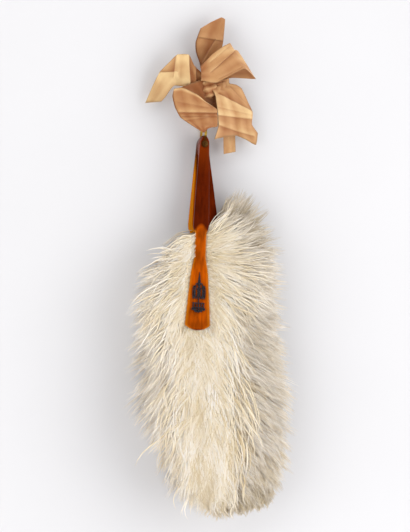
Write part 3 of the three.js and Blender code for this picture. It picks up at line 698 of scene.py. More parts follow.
def barb_tints(coat, plan, share, along, left, rng):
    """Colours of barbs: the share run in red, their tone in green and their grey in blue.

    The grey is that of the down by the sticks, or of a barb's end with the painted shade of the
    plume's end. The tone is a lock's own and a barb's own. It rises evenly with the share run, by
    painted shade at the root and painted light at the end, and falls by painted shade in the
    hollows and at the plume's end."""
    locks, count, steps, _ = plan.shape
    shape = (locks, count)
    down = ((1 - smooth(along, *DOWN_ENDS)) * np.where(left, *DOWN_GREY)
            * rng.uniform(*DOWN_OF_LOCKS, locks))
    down = (down[:, None, None] * lerp(*DOWN_OF_BARBS, rng.random(shape))[..., None]
            * np.ones(steps))
    grey = (np.where(left, *END_GREY)[:, None, None] * smooth(share, *END_STARTS)
            * rng.random(shape)[..., None])
    # Painted shade: grey at the plume's end
    grey = grey + TIP_GREY_SHADE * smooth(along, *TIP_STARTS)[:, None, None]
    mean_tone, lock_tone, barb_tone = coat["tones"]
    contrast = lerp(*LOCK_CONTRAST, smooth(along, *LOCKS_DIFFER))
    # A lock's own random tone, less the painted shade at the plume's end
    tone = (mean_tone + lock_tone * contrast * (rng.random(locks) - 0.5)
            - TIP_SHADE * smooth(along, *TIP_SHADES))[:, None, None]
    # Painted light at a barb's end and painted shade at its root
    tone = tone + END_PAINTED_LIGHT * (share - MEAN_PLACE) + rng.normal(0, barb_tone, shape)[..., None]
    # Painted shade in the hollows between the hills and painted light on the hills
    depth = lerp(*HOLLOW_SHADE, smooth(along, *HOLLOWS_DEEPEN))[:, None, None]
    tone = tone + depth * ripples(plan[..., 0], plan[..., 1])
    return np.stack([
        np.broadcast_to(share, (*shape, steps)), np.clip(tone, 0, 1),
        coat["grey"] * np.clip(down + grey, 0, 1), np.ones((*shape, steps)),
    ], -1)


def barbs(leaf, coat, locks, width, steps, rng):
    """Barbs of a plume in pointed locks.

    A lock leaves the quill at a turn and length read from the tables, with some scatter.
    Its barbs leave near it and draw in to its axis by its pull times the 0.9 power of the
    share run, wave a little, and lie at the lock's own share of the room between the
    layer's faces."""
    side, along, turn, length, droop, level, aside = lock_plans(coat, locks, rng)

    def start_at(place, offset):
        x, y = quill_at(place)
        return np.stack([x + offset, y], -1)

    def scattered(values, spread_by, most):
        own = np.clip(rng.normal(0, spread_by, shape), -most, most)
        return values[:, None] + own * coat["stray"]

    axis = barb_paths(start_at(along, aside), turn, droop, length, side, steps)
    shape = (locks, coat["barbs"])
    start = start_at(along[:, None] + rng.normal(0, OWN_START, shape),
                     aside[:, None] + rng.normal(0, OWN_ASIDE + coat["band"] / 8, shape))
    own = barb_paths(start, scattered(turn, *OWN_TURN), scattered(droop, *OWN_DROOP),
                     length[:, None] * rng.uniform(*OWN_LENGTH, shape),
                     np.repeat(side[:, None], coat["barbs"], 1), steps)
    share = np.linspace(0, 1, steps)
    pull = rng.uniform(*coat["pull"], locks)[:, None, None] * share ** 0.9
    plan = own + (axis[:, None] - own) * pull[..., None]
    ahead = unit(np.gradient(plan, axis=2))
    bend = 2 * math.pi * (share * rng.uniform(*BEND_TURNS, (locks, 1, 1))
                          + rng.random((locks, 1, 1)))
    curl = 2 * math.pi * (share * rng.uniform(*CURL_TURNS, shape)[..., None]
                          + rng.random(shape)[..., None])
    wave = share * (BEND_SWING * np.sin(bend) + CURL_SWING * coat["stray"] * np.sin(curl))
    plan = plan + np.stack([-ahead[..., 1], ahead[..., 0]], -1) * wave[..., None]
    low, high = plume_room(leaf, plan[..., 0], plan[..., 1])
    heave = HEAVE * np.sin(bend + HEAVE_PHASE) * (coat["band"] > BROAD_BAND)
    place = (level[:, None] + rng.normal(0, OWN_LEVEL, shape))[..., None] + heave
    height = low + (high - low) * np.clip(place, LEAST_LEVEL, 1.0)
    paths = np.concatenate([plan, height[..., None]], -1)
    halves = (width * coat["width"] / 2 * rng.uniform(*OWN_WIDTH, shape)[..., None]
              * np.interp(share, *BARB_PROFILE))
    tints = barb_tints(coat, plan, share, along, side < 0, rng)
    many = locks * coat["barbs"]
    return strand_tubes(paths.reshape(many, steps, 3), halves.reshape(many, steps),
                        tints.reshape(many, steps, 4))


def loose_barbs(start, turn, droop, length, side, rise, width, rng, steps=8):
    """Single barbs that lie on the face of the front guard or beside it. The rise is their
    height over the guard's back face."""
    count = len(start)
    plan = barb_paths(start, turn, droop, length, np.full(count, side), steps)
    share = np.linspace(0, 1, steps)
    high = guard_floor(np.hypot(plan[..., 0], plan[..., 1])) + rise[:, None]
    paths = np.concatenate([plan, high[..., None]], -1)
    halves = (width / 2 * rng.uniform(*LOOSE_WIDTH, count)[:, None]
              * np.interp(share, *LOOSE_PROFILE))
    tints = np.stack([
        np.broadcast_to(share, (count, steps)),
        rng.uniform(0.5, 1, count)[:, None] * np.ones(steps),
        np.zeros((count, steps)), np.ones((count, steps)),
    ], -1)
    return strand_tubes(paths, halves, tints)


def loose_group(kind, start, side, base, width, rng):
    """Loose barbs from start points, drawn at random from the values of their kind."""
    count = len(start)
    return loose_barbs(start, rng.normal(*kind["turn"], count), rng.normal(*kind["droop"], count),
                       rng.uniform(*kind["length"], count), side,
                       base + rng.uniform(*kind["rise"], count), width, rng)


def hooked_barbs(width, rng, count=30):
    """Barbs that curl over the left edge of the front guard's neck and hang beside it.

    They start in tufts down the neck. How far in they start follows a squared cosine."""
    reach = rng.choice(HOOK_TUFTS, count) + rng.normal(0, HOOK_SCATTER, count)
    edge, depth = HOOK_STARTS
    inward = depth * rng.random(count) * np.cos(HOOK_WAVE * reach) ** 2
    return loose_group(HOOKS, np.stack([edge + inward, -reach], -1), -1.0, GUARD_THICKNESS,
                       width, rng)


def curled_barbs(width, rng, count=16):
    """Barbs that rise from the right shoulder of the front guard and curl over the sticks."""
    start = np.stack([rng.uniform(*span, count) for span in CURL_BOX], -1)
    return loose_group(CURLS, start, 1.0, 0.0, width, rng)


def leaf_body(leaf):
    """Names of a leaf's body and of its plume's node, counted from the front."""
    if leaf == LAST_LEAF:
        return "front_leaf", "front_guard_plume"
    if leaf == 0:
        return "back_leaf", "back_guard_plume"
    return f"leaf_{LAST_LEAF - leaf:02d}", f"plume_{LAST_LEAF - leaf:02d}"


class FanPlumeSettings(bpy.types.PropertyGroup):
    barb_width: FloatProperty(
        name="Barb width", description="Width of a barb with its fluff", default=0.8 * MM,
        min=0.0, unit="LENGTH")
    front_locks: IntProperty(
        name="Front locks", description="Locks of barbs in each coat of the front plume",
        default=860, min=1)
    inner_locks: IntProperty(
        name="Inner locks", description="Locks of barbs on each other plume", default=260, min=1)
    # The root is darker than the tip by painted shade in the depth by the quill
    root: FloatVectorProperty(
        name="Root", description="Colour of a barb at the quill", subtype="COLOR", size=3,
        min=0.0, max=1.0, default=colour("#E8D2A9"))
    cream: FloatVectorProperty(
        name="Cream", description="Colour half way along a barb", subtype="COLOR", size=3,
        min=0.0, max=1.0, default=colour("#F2E0C2"))
    tip: FloatVectorProperty(
        name="Tip", description="Colour of a barb at its tip", subtype="COLOR", size=3,
        min=0.0, max=1.0, default=colour("#F6EBD9"))
    down: FloatVectorProperty(
        name="Down", description="Colour of the grey barbs by the sticks", subtype="COLOR",
        size=3, min=0.0, max=1.0, default=colour("#B09C7C"))


class FAN_OT_plumes(bpy.types.Operator):
    """Lays the sixteen ostrich plumes, each in the layer of its leaf"""

    bl_idname = "fan.plumes"
    bl_label = "Plumes"

    def execute(self, context):
        settings = context.scene.fan_plumes
        material = plume_material(settings)
        wide = settings.barb_width / MM

        def lay(name, leaf, parts):
            body, node_name = leaf_body(leaf)
            points, quads, triangles, tints = joined(parts)
            part = (turned(points, lean_of(leaf)), quads, triangles, tints)
            piece = add_piece(name, part, material, attribute="strand")
            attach(piece, body)
            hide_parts(node_name)

        for leaf in range(LAST_LEAF):
            rng = np.random.default_rng(PLUME_SEED + leaf)
            locks = settings.inner_locks * (2 if leaf == 0 else 1)
            coat = barbs(leaf, COATS["under"], locks, wide, BARB_STEPS, rng)
            lay(f"{leaf_body(leaf)[1]}_barbs", leaf, [shaft(leaf), web(leaf, rng), coat])
        rng = np.random.default_rng(FRONT_SEED)
        deep = barbs(LAST_LEAF, COATS["front"], settings.front_locks, wide, BARB_STEPS, rng)
        lay("front_guard_plume_barbs", LAST_LEAF, [shaft(LAST_LEAF), web(LAST_LEAF, rng), deep])
        over = barbs(LAST_LEAF, COATS["over"], settings.front_locks, wide, OVER_STEPS, rng)
        lay("front_guard_plume_locks", LAST_LEAF, [
            over, hooked_barbs(wide, rng), curled_barbs(wide, rng)])
        return {"FINISHED"}


# Shell leaves

# The shell's grain, drawn out along the stick: cells of its noise in a metre, each 2.4 mm wide
# and 25 mm long
SHELL_GRAIN = (420, 40, 420)

# The painted glow of light that comes through the shell from the feathers under it. In metres:
# how much further down the glow starts towards the edges, by this part of the square of X, and
# where it starts and ends about its own reach
GLOW_ARCH = -140.0
GLOW_EDGE = (-0.0015, 0.003)

# Where the shell changes, along the stick or the stack in metres or by shares of the leaf:
# russet painted light towards the head, honey painted light towards the blade's edges, the deep
# line at its end, the height of the stack's flank, which has a painted band of honey light, its
# painted shade by the heads, where the flank ends upwards, and the dull edges
HEAD_PAINTED_LIGHT = {"From Min": -0.035, "From Max": -0.006, "To Max": 0.5}
EDGE_PAINTED_LIGHT = {"From Min": 0.72, "From Max": 1.0, "To Max": 0.5}
END_LINE = {"From Min": 0.991, "From Max": 0.997, "To Max": 0.7}
FLANK_HEIGHT = {"From Max": 0.012}
FLANK_SHADE = {"From Min": -0.034, "From Max": -0.012, "To Max": 0.9}
FLANK_TOP = {"From Min": 0.012, "From Max": 0.01}
EDGE_WEAR = {"From Min": 0.93, "From Max": 1.0, "To Min": 0.18, "To Max": 0.5}

# Each shell: the two colours of its grain where it is dark and where light comes through it,
# as a colour and how much lighter it is, the reach in metres from which light comes through,
# and the gloss. The dark and the light grain are painted light: they stand for the light that
# comes through the shell from behind it.
SHELLS = {
    "front": ((("deep", 0.8), ("deep", 1.5)), (("amber", 0.55), ("amber", 1.15)), 0.0898, 0.28),
    "back": ((("honey", 0.7), ("honey", 1.1)), (("honey", 0.6), ("amber", 1.1)), 0.1, 0.15),
    "inner": ((("deep", 0.7), ("deep", 2.2)), (("deep", 2.0), ("amber", 0.9)), 0.1, 0.15),
}


def shell_material(kind, settings):
    """Polished blond shell: a clear horn, painted dark where the stack lies behind it and painted
    amber where light comes through it by itself, so the light through it is painted.

    It is pressed and buffed, so its grain is drawn out along the stick under a wet gloss."""
    dark, bright, glow, gloss = SHELLS[kind]
    material, tree, shader = new_material(f"blond_shell_{kind}", {
        "IOR": 1.5, "Specular IOR Level": gloss, "Coat Weight": 0.15 * gloss,
        "Coat Roughness": 0.05,
    })
    deep, russet, amber, honey = (
        (*tint, 1) for tint in (settings.deep, settings.russet, settings.amber, settings.honey))
    place = add_node(tree, "ShaderNodeTexCoord")
    split = add_node(tree, "ShaderNodeSeparateXYZ", links={0: (place, "Object")})
    drawn = add_node(tree, "ShaderNodeMapping", {"Scale": SHELL_GRAIN},
                     {"Vector": (place, "Object")})
    streak = add_node(
        tree, "ShaderNodeTexNoise", {"Scale": 1.0, "Detail": 3.0, "Roughness": 0.55},
        {"Vector": (drawn, "Vector")})
    cloud = add_node(tree, "ShaderNodeTexNoise", {"Scale": 42.0, "Detail": 2.0},
                     {"Vector": (place, "Object")})
    grain = add_node(tree, "ShaderNodeMix", {0: 0.55}, {2: (streak, "Fac"), 3: (cloud, "Fac")})
    # Painted glow: past an arch the grain turns from its dark colours to those of the light
    # through it
    square = add_node(tree, "ShaderNodeMath", links={0: (split, "X"), 1: (split, "X")},
                      operation="MULTIPLY")
    arch = add_node(tree, "ShaderNodeMath", {1: GLOW_ARCH}, {0: (square, 0)},
                    operation="MULTIPLY")
    fall = add_node(tree, "ShaderNodeMath", links={0: (arch, 0), 1: (split, "Y")},
                    operation="SUBTRACT")
    clear = add_node(
        tree, "ShaderNodeMapRange",
        {"From Min": glow + GLOW_EDGE[0], "From Max": glow + GLOW_EDGE[1]}, {"Value": (fall, 0)})
    low, high = (
        add_node(tree, "ShaderNodeValToRGB", links={"Fac": (grain, 0)},
                 stops=[(stop, lighter(getattr(settings, tint), factor))
                        for stop, (tint, factor) in zip(stops, pair)])
        for stops, pair in (((0.38, 0.62), dark), ((0.4, 0.6), bright)))
    # Painted light: russet towards the head, where light comes in round the heads
    head = add_node(tree, "ShaderNodeMapRange", HEAD_PAINTED_LIGHT, {"Value": (split, "Y")})
    warm = blended(tree, (head, "Result"), (low, "Color"), russet)
    lit = blended(tree, (clear, "Result"), (warm, COLOUR_OUT), (high, "Color"))
    thin = add_node(tree, "ShaderNodeAttribute", attribute_name="thin")
    parts = add_node(tree, "ShaderNodeSeparateColor", links={"Color": (thin, "Color")})
    # Painted light: honey towards the blade's edges, where the glow comes through
    margin = add_node(tree, "ShaderNodeMapRange", EDGE_PAINTED_LIGHT, {"Value": (parts, "Red")})
    painted_edge_light = add_node(tree, "ShaderNodeMath", links={0: (margin, "Result"), 1: (clear, "Result")},
                       operation="MULTIPLY")
    edged = blended(tree, (painted_edge_light, 0), (lit, COLOUR_OUT), honey)
    rim = add_node(tree, "ShaderNodeMapRange", END_LINE, {"Value": (parts, "Green")})
    rimmed = blended(tree, (rim, "Result"), (edged, COLOUR_OUT), deep)
    # The stack's flank: a painted band of honey light across its height, and painted shade by the
    # heads
    height = add_node(tree, "ShaderNodeMapRange", FLANK_HEIGHT, {"Value": (split, "Z")})
    stack = add_node(
        tree, "ShaderNodeValToRGB", links={"Fac": (height, "Result")},
        stops=[(0.27, deep), (0.85, deep), (0.34, amber), (0.42, honey), (0.57, honey),
               (0.7, amber)])
    shaded = add_node(tree, "ShaderNodeMapRange", FLANK_SHADE, {"Value": (split, "Y")})
    flank = blended(tree, (shaded, "Result"), (stack, "Color"), deep)
    lower = add_node(tree, "ShaderNodeMapRange", FLANK_TOP, {"Value": (split, "Z")})
    whole = blended(tree, (lower, "Result"), (rimmed, COLOUR_OUT), (flank, COLOUR_OUT))
    tree.links.new(whole.outputs[COLOUR_OUT], shader.inputs["Base Color"])
    wear_and_shade = add_node(tree, "ShaderNodeMapRange", EDGE_WEAR, {"Value": (parts, "Red")})
    tree.links.new(wear_and_shade.outputs["Result"], shader.inputs["Roughness"])
    wear = add_node(tree, "ShaderNodeTexNoise", {"Scale": 160.0, "Detail": 4.0},
                    {"Vector": (place, "Object")})
    bump_from(tree, shader, wear, "Fac", 0.12, 0.15)
    return material


# These colours paint the light that comes through the shell from behind: deep where the whole
# stack lies behind it, russet where light comes in round the heads, amber over pale feathers and
# honey over the white table.
class FanShellSettings(bpy.types.PropertyGroup):
    deep: FloatVectorProperty(
        name="Deep shell", description="Shell seen through the whole stack", subtype="COLOR",
        size=3, min=0.0, max=1.0, default=colour("#4A1300"))
    russet: FloatVectorProperty(
        name="Russet shell", description="Shell at the heads, where light comes in round them",
        subtype="COLOR", size=3, min=0.0, max=1.0, default=colour("#8A3404"))
    amber: FloatVectorProperty(
        name="Amber shell", description="A single leaf over pale feathers", subtype="COLOR",
        size=3, min=0.0, max=1.0, default=colour("#AE4A00"))
    honey: FloatVectorProperty(
        name="Honey shell", description="A single leaf over the white table", subtype="COLOR",
        size=3, min=0.0, max=1.0, default=colour("#D98A18"))


def guard_outline(step=0.5, blur=7):
    """Reach and half width along the front guard's edge, from the head's point to the end.

    The head is a pointed arch, the gorge swells to the shoulder, a quarter round draws in to
    the neck, and the blade flares out to a shallow circle. A running mean of even steps, with
    the far side mirrored past both ends, rounds the corners."""
    rise = np.linspace(1, 0, 12)
    along = np.linspace(0, 1, 40)[1:]
    turn = np.linspace(0, math.pi / 2, 12)[1:]
    end_radius = (GUARD_END_HALF ** 2 + GUARD_END_SAG ** 2) / (2 * GUARD_END_SAG)
    drop = GUARD_END_SAG * np.linspace(1, 0, 30) ** 2
    reach = np.concatenate([
        [-HEAD_REACH], -HEAD_REACH * rise, GORGE_END * along,
        lerp(GORGE_END, SHOULDER_END, np.sin(turn)), lerp(*FLARE_REACHES, along),
        GUARD_REACH - drop])
    swell = along * (1 + GORGE_SWELL * (1 - along))
    half = np.concatenate([
        [0], lerp(HEAD_HALF, HEAD_POINT_HALF, rise ** 2), lerp(HEAD_HALF, SHOULDER_HALF, swell),
        lerp(NECK_HALF, SHOULDER_HALF, np.cos(turn)),
        lerp(NECK_HALF, FLARE_HALF, smooth(along, 0, 1)),
        np.sqrt(drop * (2 * end_radius - drop))])
    run = np.concatenate([[0], np.cumsum(np.hypot(np.diff(reach), np.diff(half)))])
    even = np.linspace(0, run[-1], int(run[-1] / step))
    reach, half = np.interp(even, run, reach), np.interp(even, run, half)
    pad = blur // 2
    reach = np.concatenate([reach[pad:0:-1], reach, reach[-2:-pad - 2:-1]])
    half = np.concatenate([-half[pad:0:-1], half, -half[-2:-pad - 2:-1]])
    mean = np.full(blur, 1 / blur)
    return np.convolve(reach, mean, "valid"), np.maximum(np.convolve(half, mean, "valid"), 0)


def guard_part(columns=15, bevel=6):
    """The front guard: a slab over its outline with rounded edges and a crowned face.

    Each section runs from the back's right edge over the face to the left one. A point lies
    inside the outline by its inset and under the face by its drop, which follow a quarter
    round, and the face rises by the crown times one less the square of its share out. Its
    colours hold that share in red and the share of the guard's reach in green."""
    reach, half = guard_outline()
    ahead = unit(np.gradient(np.stack([reach, half], -1), axis=0))
    turn = np.linspace(0, math.pi / 2, bevel)
    inset = np.concatenate([[GUARD_BACK_EDGE, 0], GUARD_EDGE * (1 - np.cos(turn))])
    drop = np.concatenate([[GUARD_THICKNESS, GUARD_THICKNESS - GUARD_BACK_EDGE],
                           GUARD_EDGE * (1 - np.sin(turn))])
    inset = np.concatenate([inset, np.full(columns, GUARD_EDGE), inset[::-1]])
    drop = np.concatenate([drop, np.zeros(columns), drop[::-1]])
    side = np.concatenate([np.ones(bevel + 2), np.linspace(1, -1, columns + 2)[1:-1],
                           -np.ones(bevel + 2)])
    x = side * np.maximum(half[:, None] - inset * ahead[:, :1], 0)
    y = -(reach[:, None] + inset * ahead[:, 1:])
    share = np.abs(x) / np.maximum(half[:, None], 0.1)
    z = guard_floor(np.hypot(x, y)) + GUARD_THICKNESS - drop + GUARD_CROWN * (1 - share ** 2)
    tints = np.stack([share, -y / GUARD_REACH, 0 * x, 0 * x + 1], -1)
    return (np.stack([x, y, z], -1).reshape(-1, 3), grid_quads(*x.shape, True), [],
            tints.reshape(-1, 4))


def lighter(tint, factor):
    """An opaque colour times a factor, and 1 at most."""
    return (*[min(1.0, value * factor) for value in tint], 1.0)


def dress(name, material):
    """Gives a CAD node another material and leaves its mesh as it is."""
    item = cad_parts[name]
    item.data.materials.clear()
    item.data.materials.append(material)


class FAN_OT_leaves(bpy.types.Operator):
    """Finishes the guards and the inner sticks in polished shell"""

    bl_idname = "fan.leaves"
    bl_label = "Shell leaves"

    def execute(self, context):
        settings = context.scene.fan_shell
        shells = {kind: shell_material(kind, settings) for kind in SHELLS}
        guard = add_piece("front_guard_shell", guard_part(), shells["front"], attribute="thin",
                          weld=True)
        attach(guard, "front_leaf")
        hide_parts("front_guard")
        dress("back_guard", shells["back"])
        for number in range(1, INNER_STICKS + 1):
            dress(f"stick_{number:02d}", shells["inner"])
        return {"FINISHED"}


# Metal and thread

# Where the gilt turns darker along Y in metres, and how much rougher the pits of a metal are
GILT_DARKER_FROM = {"From Min": 0.01, "From Max": 0.008}
PIT_ROUGHNESS = 0.15


def metal_material(name, light, dark, roughness, grain, darkened=None):
    """A worn metal: bright where it is rubbed, darker in the pits, with a fine pitted bump.

    Grain is the number of its larger pits in a metre, at a little over 1 mm to each. The optional
    colour is a darker one for the part that lies over the leaves' heads, below Y 10 mm."""
    material, tree, shader = new_material(name, {"Metallic": 1.0})
    place = add_node(tree, "ShaderNodeTexCoord")
    noise = add_node(
        tree, "ShaderNodeTexNoise", {"Scale": grain, "Detail": 5.0, "Roughness": 0.6},
        {"Vector": (place, "Object")})
    tint = add_node(tree, "ShaderNodeValToRGB", links={"Fac": (noise, "Fac")},
                    stops=[(0.35, dark), (0.62, light)])
    # The metal turns to the darker colour over the leaves' heads, below Y 10 mm
    if darkened:
        split = add_node(tree, "ShaderNodeSeparateXYZ", links={0: (place, "Object")})
        over = add_node(tree, "ShaderNodeMapRange", GILT_DARKER_FROM, {"Value": (split, "Y")})
        tint = blended(tree, (over, "Result"), (tint, "Color"), darkened)
    tree.links.new(tint.outputs[COLOUR_OUT if darkened else "Color"], shader.inputs["Base Color"])
    rough = add_node(
        tree, "ShaderNodeMapRange", {"To Min": roughness + PIT_ROUGHNESS, "To Max": roughness},
        {"Value": (noise, "Fac")})
    tree.links.new(rough.outputs["Result"], shader.inputs["Roughness"])
    bump_from(tree, shader, noise, "Fac", 0.3, 0.05)
    return material


def thread_material():
    """Waxed linen thread in close turns across the blade. A turn is drawn 0.7 mm wide, which
    is about twice as coarse as a real one, so that it can show."""
    material, tree, shader = new_material("waxed_linen_thread", {"Roughness": 0.6})
    place = add_node(tree, "ShaderNodeTexCoord")
    turns = add_node(tree, "ShaderNodeTexWave", {"Scale": 450.0, "Distortion": 0.6},
                     {"Vector": (place, "Object")}, bands_direction="Y")
    tint = add_node(tree, "ShaderNodeValToRGB", links={"Fac": (turns, "Fac")},
                    stops=[(0.0, shade("#8A6C3F")), (1.0, shade("#D2B684"))])
    tree.links.new(tint.outputs["Color"], shader.inputs["Base Color"])
    bump_from(tree, shader, turns, "Fac", 0.8, 0.15)
    return material


class FanMetalSettings(bpy.types.PropertyGroup):
    gilt: FloatVectorProperty(
        name="Gilt", description="Rubbed gilding", subtype="COLOR", size=3, min=0.0, max=1.0,
        default=colour("#F2CE5C"))
    brass: FloatVectorProperty(
        name="Brass", description="Tarnished brass of the rivet", subtype="COLOR", size=3,
        min=0.0, max=1.0, default=colour("#6E4A24"))
    silver: FloatVectorProperty(
        name="Silver", description="Oxidised silver of the mount", subtype="COLOR", size=3,
        min=0.0, max=1.0, default=colour("#55535A"))


class FAN_OT_metal(bpy.types.Operator):
    """Finishes the rivet, washers, bail, thread bindings and the mount of the front guard"""

    bl_idname = "fan.metal"
    bl_label = "Metal and thread"

    def execute(self, context):
        settings = context.scene.fan_metal
        # The gilt is darker brown over the leaves' heads
        gilt = metal_material("worn_gilt_brass", (*settings.gilt, 1), shade("#B5862E"),
                              roughness=0.4, grain=900, darkened=shade("#5E3410"))
        brass = metal_material("tarnished_brass", (*settings.brass, 1), shade("#2C1A0A"),
                               roughness=0.35, grain=900)
        silver = metal_material("oxidised_silver", (*settings.silver, 1), shade("#1E1D22"),
                                roughness=0.35, grain=700)
        dress("bail", gilt)
        for name in ("rivet", "washer_front", "washer_back"):
            dress(name, brass)
        dress("guard_mount", silver)
        thread = thread_material()
        for number in range(1, INNER_STICKS + 1):
            dress(f"quill_binding_{number:02d}", thread)
        return {"FINISHED"}


# Ribbon

# The bow's size and the inside of the bail's arch in mm. Points of the bow are shares of the
# size from there. Each piece has its left and its right edge, from its root to its end.
BOW_SIZE = 100.0
BOW_ORIGIN = 22.8
BOW_EDGES = {
    "ribbon_loop_top": (
        ((-0.042, 0.435, 0.17), (-0.09, 0.667, 0.14), (-0.143, 0.801, 0.14),
         (-0.154, 0.907, 0.15), (-0.113, 1.06, 0.15)),
        ((0.069, 0.439, 0.17), (0.11, 0.68, 0.14), (0.142, 0.86, 0.14),
         (0.15, 0.97, 0.15), (0.158, 1.19, 0.15)),
    ),
    "ribbon_loop_upper": (
        ((-0.106, 0.62, 0.28), (0.005, 0.76, 0.3), (0.12, 0.857, 0.3), (0.205, 0.91, 0.28)),
        ((-0.094, 0.46, 0.275), (0.077, 0.452, 0.285), (0.383, 0.638, 0.27),
         (0.551, 0.551, 0.18)),
    ),
    "ribbon_loop_lower": (
        ((-0.035, -0.115, 0.31), (-0.15, -0.057, 0.31), (-0.295, 0.026, 0.31),
         (-0.369, 0.135, 0.33), (-0.408, 0.259, 0.33), (-0.408, 0.335, 0.34)),
        ((-0.02, -0.11, 0.31), (0.02, -0.058, 0.31), (0.12, -0.03, 0.3),
         (0.117, 0.074, 0.29), (0.1, 0.16, 0.29), (0.02, 0.2, 0.3)),
    ),
    "ribbon_tail_left": (
        ((-0.03, 0.5, 0.21), (-0.1, 0.57, 0.23), (-0.174, 0.621, 0.25), (-0.247, 0.737, 0.26),
         (-0.377, 0.727, 0.25), (-0.467, 0.625, 0.2), (-0.552, 0.522, 0.17),
         (-0.611, 0.368, 0.12), (-0.672, 0.182, 0.08)),
        ((-0.034, 0.3, 0.2), (-0.1, 0.31, 0.21), (-0.19, 0.35, 0.22), (-0.26, 0.385, 0.23),
         (-0.36, 0.39, 0.22), (-0.391, 0.378, 0.2), (-0.42, 0.33, 0.16),
         (-0.45, 0.27, 0.12), (-0.49, 0.215, 0.08)),
    ),
    "ribbon_tail_right": (
        ((0.06, 0.45, 0.235), (0.225, 0.53, 0.23), (0.24, 0.47, 0.225), (0.319, 0.463, 0.22),
         (0.387, 0.428, 0.21), (0.461, 0.317, 0.18), (0.548, 0.185, 0.14),
         (0.556, 0.045, 0.12), (0.635, -0.045, 0.1)),
        ((0.03, 0.39, 0.25), (0.05, 0.36, 0.265), (0.07, 0.33, 0.275), (0.08, 0.3, 0.28),
         (0.088, 0.25, 0.285), (0.098, 0.201, 0.29), (0.118, 0.096, 0.29),
         (0.134, -0.03, 0.27), (0.107, -0.169, 0.24)),
    ),
    "ribbon_tail_short": (
        ((0.229, 0.069, 0.15), (0.229, -0.129, 0.145), (0.25, -0.315, 0.12)),
        ((0.354, 0.086, 0.135), (0.369, -0.106, 0.125), (0.388, -0.277, 0.115)),
    ),
}

# Where the layer beneath a loop differs from the one on top
BOW_BACKS = {
    "ribbon_loop_upper": (
        ((-0.106, 0.62, 0.24), (0.005, 0.75, 0.25), (0.12, 0.85, 0.26), (0.205, 0.91, 0.28)),
        ((-0.05, 0.44, 0.24), (0.09, 0.47, 0.24), (0.27, 0.535, 0.22), (0.551, 0.551, 0.18)),
    ),
    "ribbon_loop_lower": (
        ((-0.035, -0.115, 0.31), (-0.15, -0.05, 0.27), (-0.295, 0.035, 0.26),
         (-0.369, 0.145, 0.27), (-0.405, 0.259, 0.28), (-0.397, 0.33, 0.29)),
        ((-0.02, -0.11, 0.31), (0.02, -0.055, 0.26), (0.12, -0.01, 0.25),
         (0.125, 0.12, 0.24), (0.115, 0.3, 0.24), (-0.04, 0.5, 0.25)),
    ),
}

# The ends that aren't straight, from the left edge to the right one
BOW_ENDS = {
    "ribbon_loop_top": ((-0.113, 1.06, 0.15), (-0.004, 1.138, 0.15), (0.115, 1.206, 0.15),
                        (0.158, 1.19, 0.15)),
    "ribbon_loop_upper": ((0.205, 0.91, 0.28), (0.258, 0.84, 0.27), (0.302, 0.837, 0.26),
                          (0.367, 0.765, 0.24), (0.454, 0.666, 0.21), (0.551, 0.551, 0.18)),
    "ribbon_loop_lower": ((-0.408, 0.335, 0.34), (-0.323, 0.358, 0.345), (-0.247, 0.335, 0.345),
                          (-0.136, 0.293, 0.335), (-0.055, 0.24, 0.32), (0.02, 0.2, 0.3)),
    "ribbon_tail_right": (
        (0.635, -0.045, 0.1), (0.618, -0.181, 0.11), (0.491, -0.132, 0.13), (0.379, -0.099, 0.15),
        (0.25, -0.125, 0.2), (0.107, -0.169, 0.24)),
}

# The path of the band through the bail, and the knot's centre and half sizes, in shares too
PASS_PATH = ((-0.075, 0.26, 0.175), (-0.055, 0.1, 0.155), (-0.025, 0, 0.14),
             (0.025, 0, 0.14), (0.05, 0.1, 0.155), (0.08, 0.26, 0.175))
KNOT_CENTRE = (0.013, 0.383, 0.2)
KNOT_HALVES = (0.095, 0.125, 0.075)

# The knot: how often it goes round, how far its sides lean in radians and round in by a power
# of the cosine, its height as a share of the half, how far it winds in, its pleats across and
# along with the sway of that, its creases across and along with their phase, how far pleats
# and creases swell it, its mean fade with the painted light that pleats and creases give it,
# and where the pleats' bottoms take painted shade, with how much
KNOT_TURNS = 1.04
KNOT_LEAN = 1.15
KNOT_ROUND = 0.6
KNOT_TALL = 0.95
KNOT_WIND = 0.05
KNOT_PLEATS = (3.0, 3.6)
KNOT_SWAY = (0.15, 9)
KNOT_CREASES = (1.3, -5.2, 0.4)
KNOT_SWELLS = (0.13, 0.07)
KNOT_FADE_AND_LIGHT = (0.22, 0.32, 0.16)
KNOT_PAINTED_SHADE = (0.9, 6)

# The band on edge: its half width in the arch of the bail and how much wider it is outside,
# its pleats and their depth, how far it is drawn back from its path, and its mean fade with the
# painted light and shade that its pleats give it
PASS_HALF = 4.4
PASS_WIDENS = 0.6
PASS_PLEATS = 3
PASS_DEPTH = 1.3
PASS_BACK = LAYER_GAP + 2
PASS_FADE_AND_LIGHT = (0.2, 0.2)

# A piece of the bow: how crisp its edges are, the power of a loop's share out, where on its
# run it changes to the layer beneath, where the folds start, how far a loop is open at its
# root, and the length in mm on which the soiled end of a piece is measured
EDGE_CRISP = 0.6
LOOP_POWER = 0.8
TURN_SHARES = (0.5, 0.6)
FOLD_PHASE = 0.2
ROOT_OPEN = 0.3
END_LENGTH = 30

# Its fade, with its painted light and shade: the painted light on a fold's ridge, the fade in a
# crumple, how much darker it is beneath by painted shade, how much darker at its root by painted
# shade and how far out, how dark the painted shade in the hollow of a pocket is and where in X,
# and how much lighter a pocket's lip is by a painted highlight, and where
RIDGE_PAINTED_LIGHT = 0.1
CRUMPLE_FADE = 0.1
BENEATH_SHADE = 0.25
ROOT_SHADE = 0.35
ROOT_REACH = 0.3
HOLLOW_PAINTED_SHADE = 0.9
HOLLOW_PLACE = (-7, 0)
LIP_PAINTED_HIGHLIGHT = 0.5
LIP_PLACE = (0.9, 0.97)


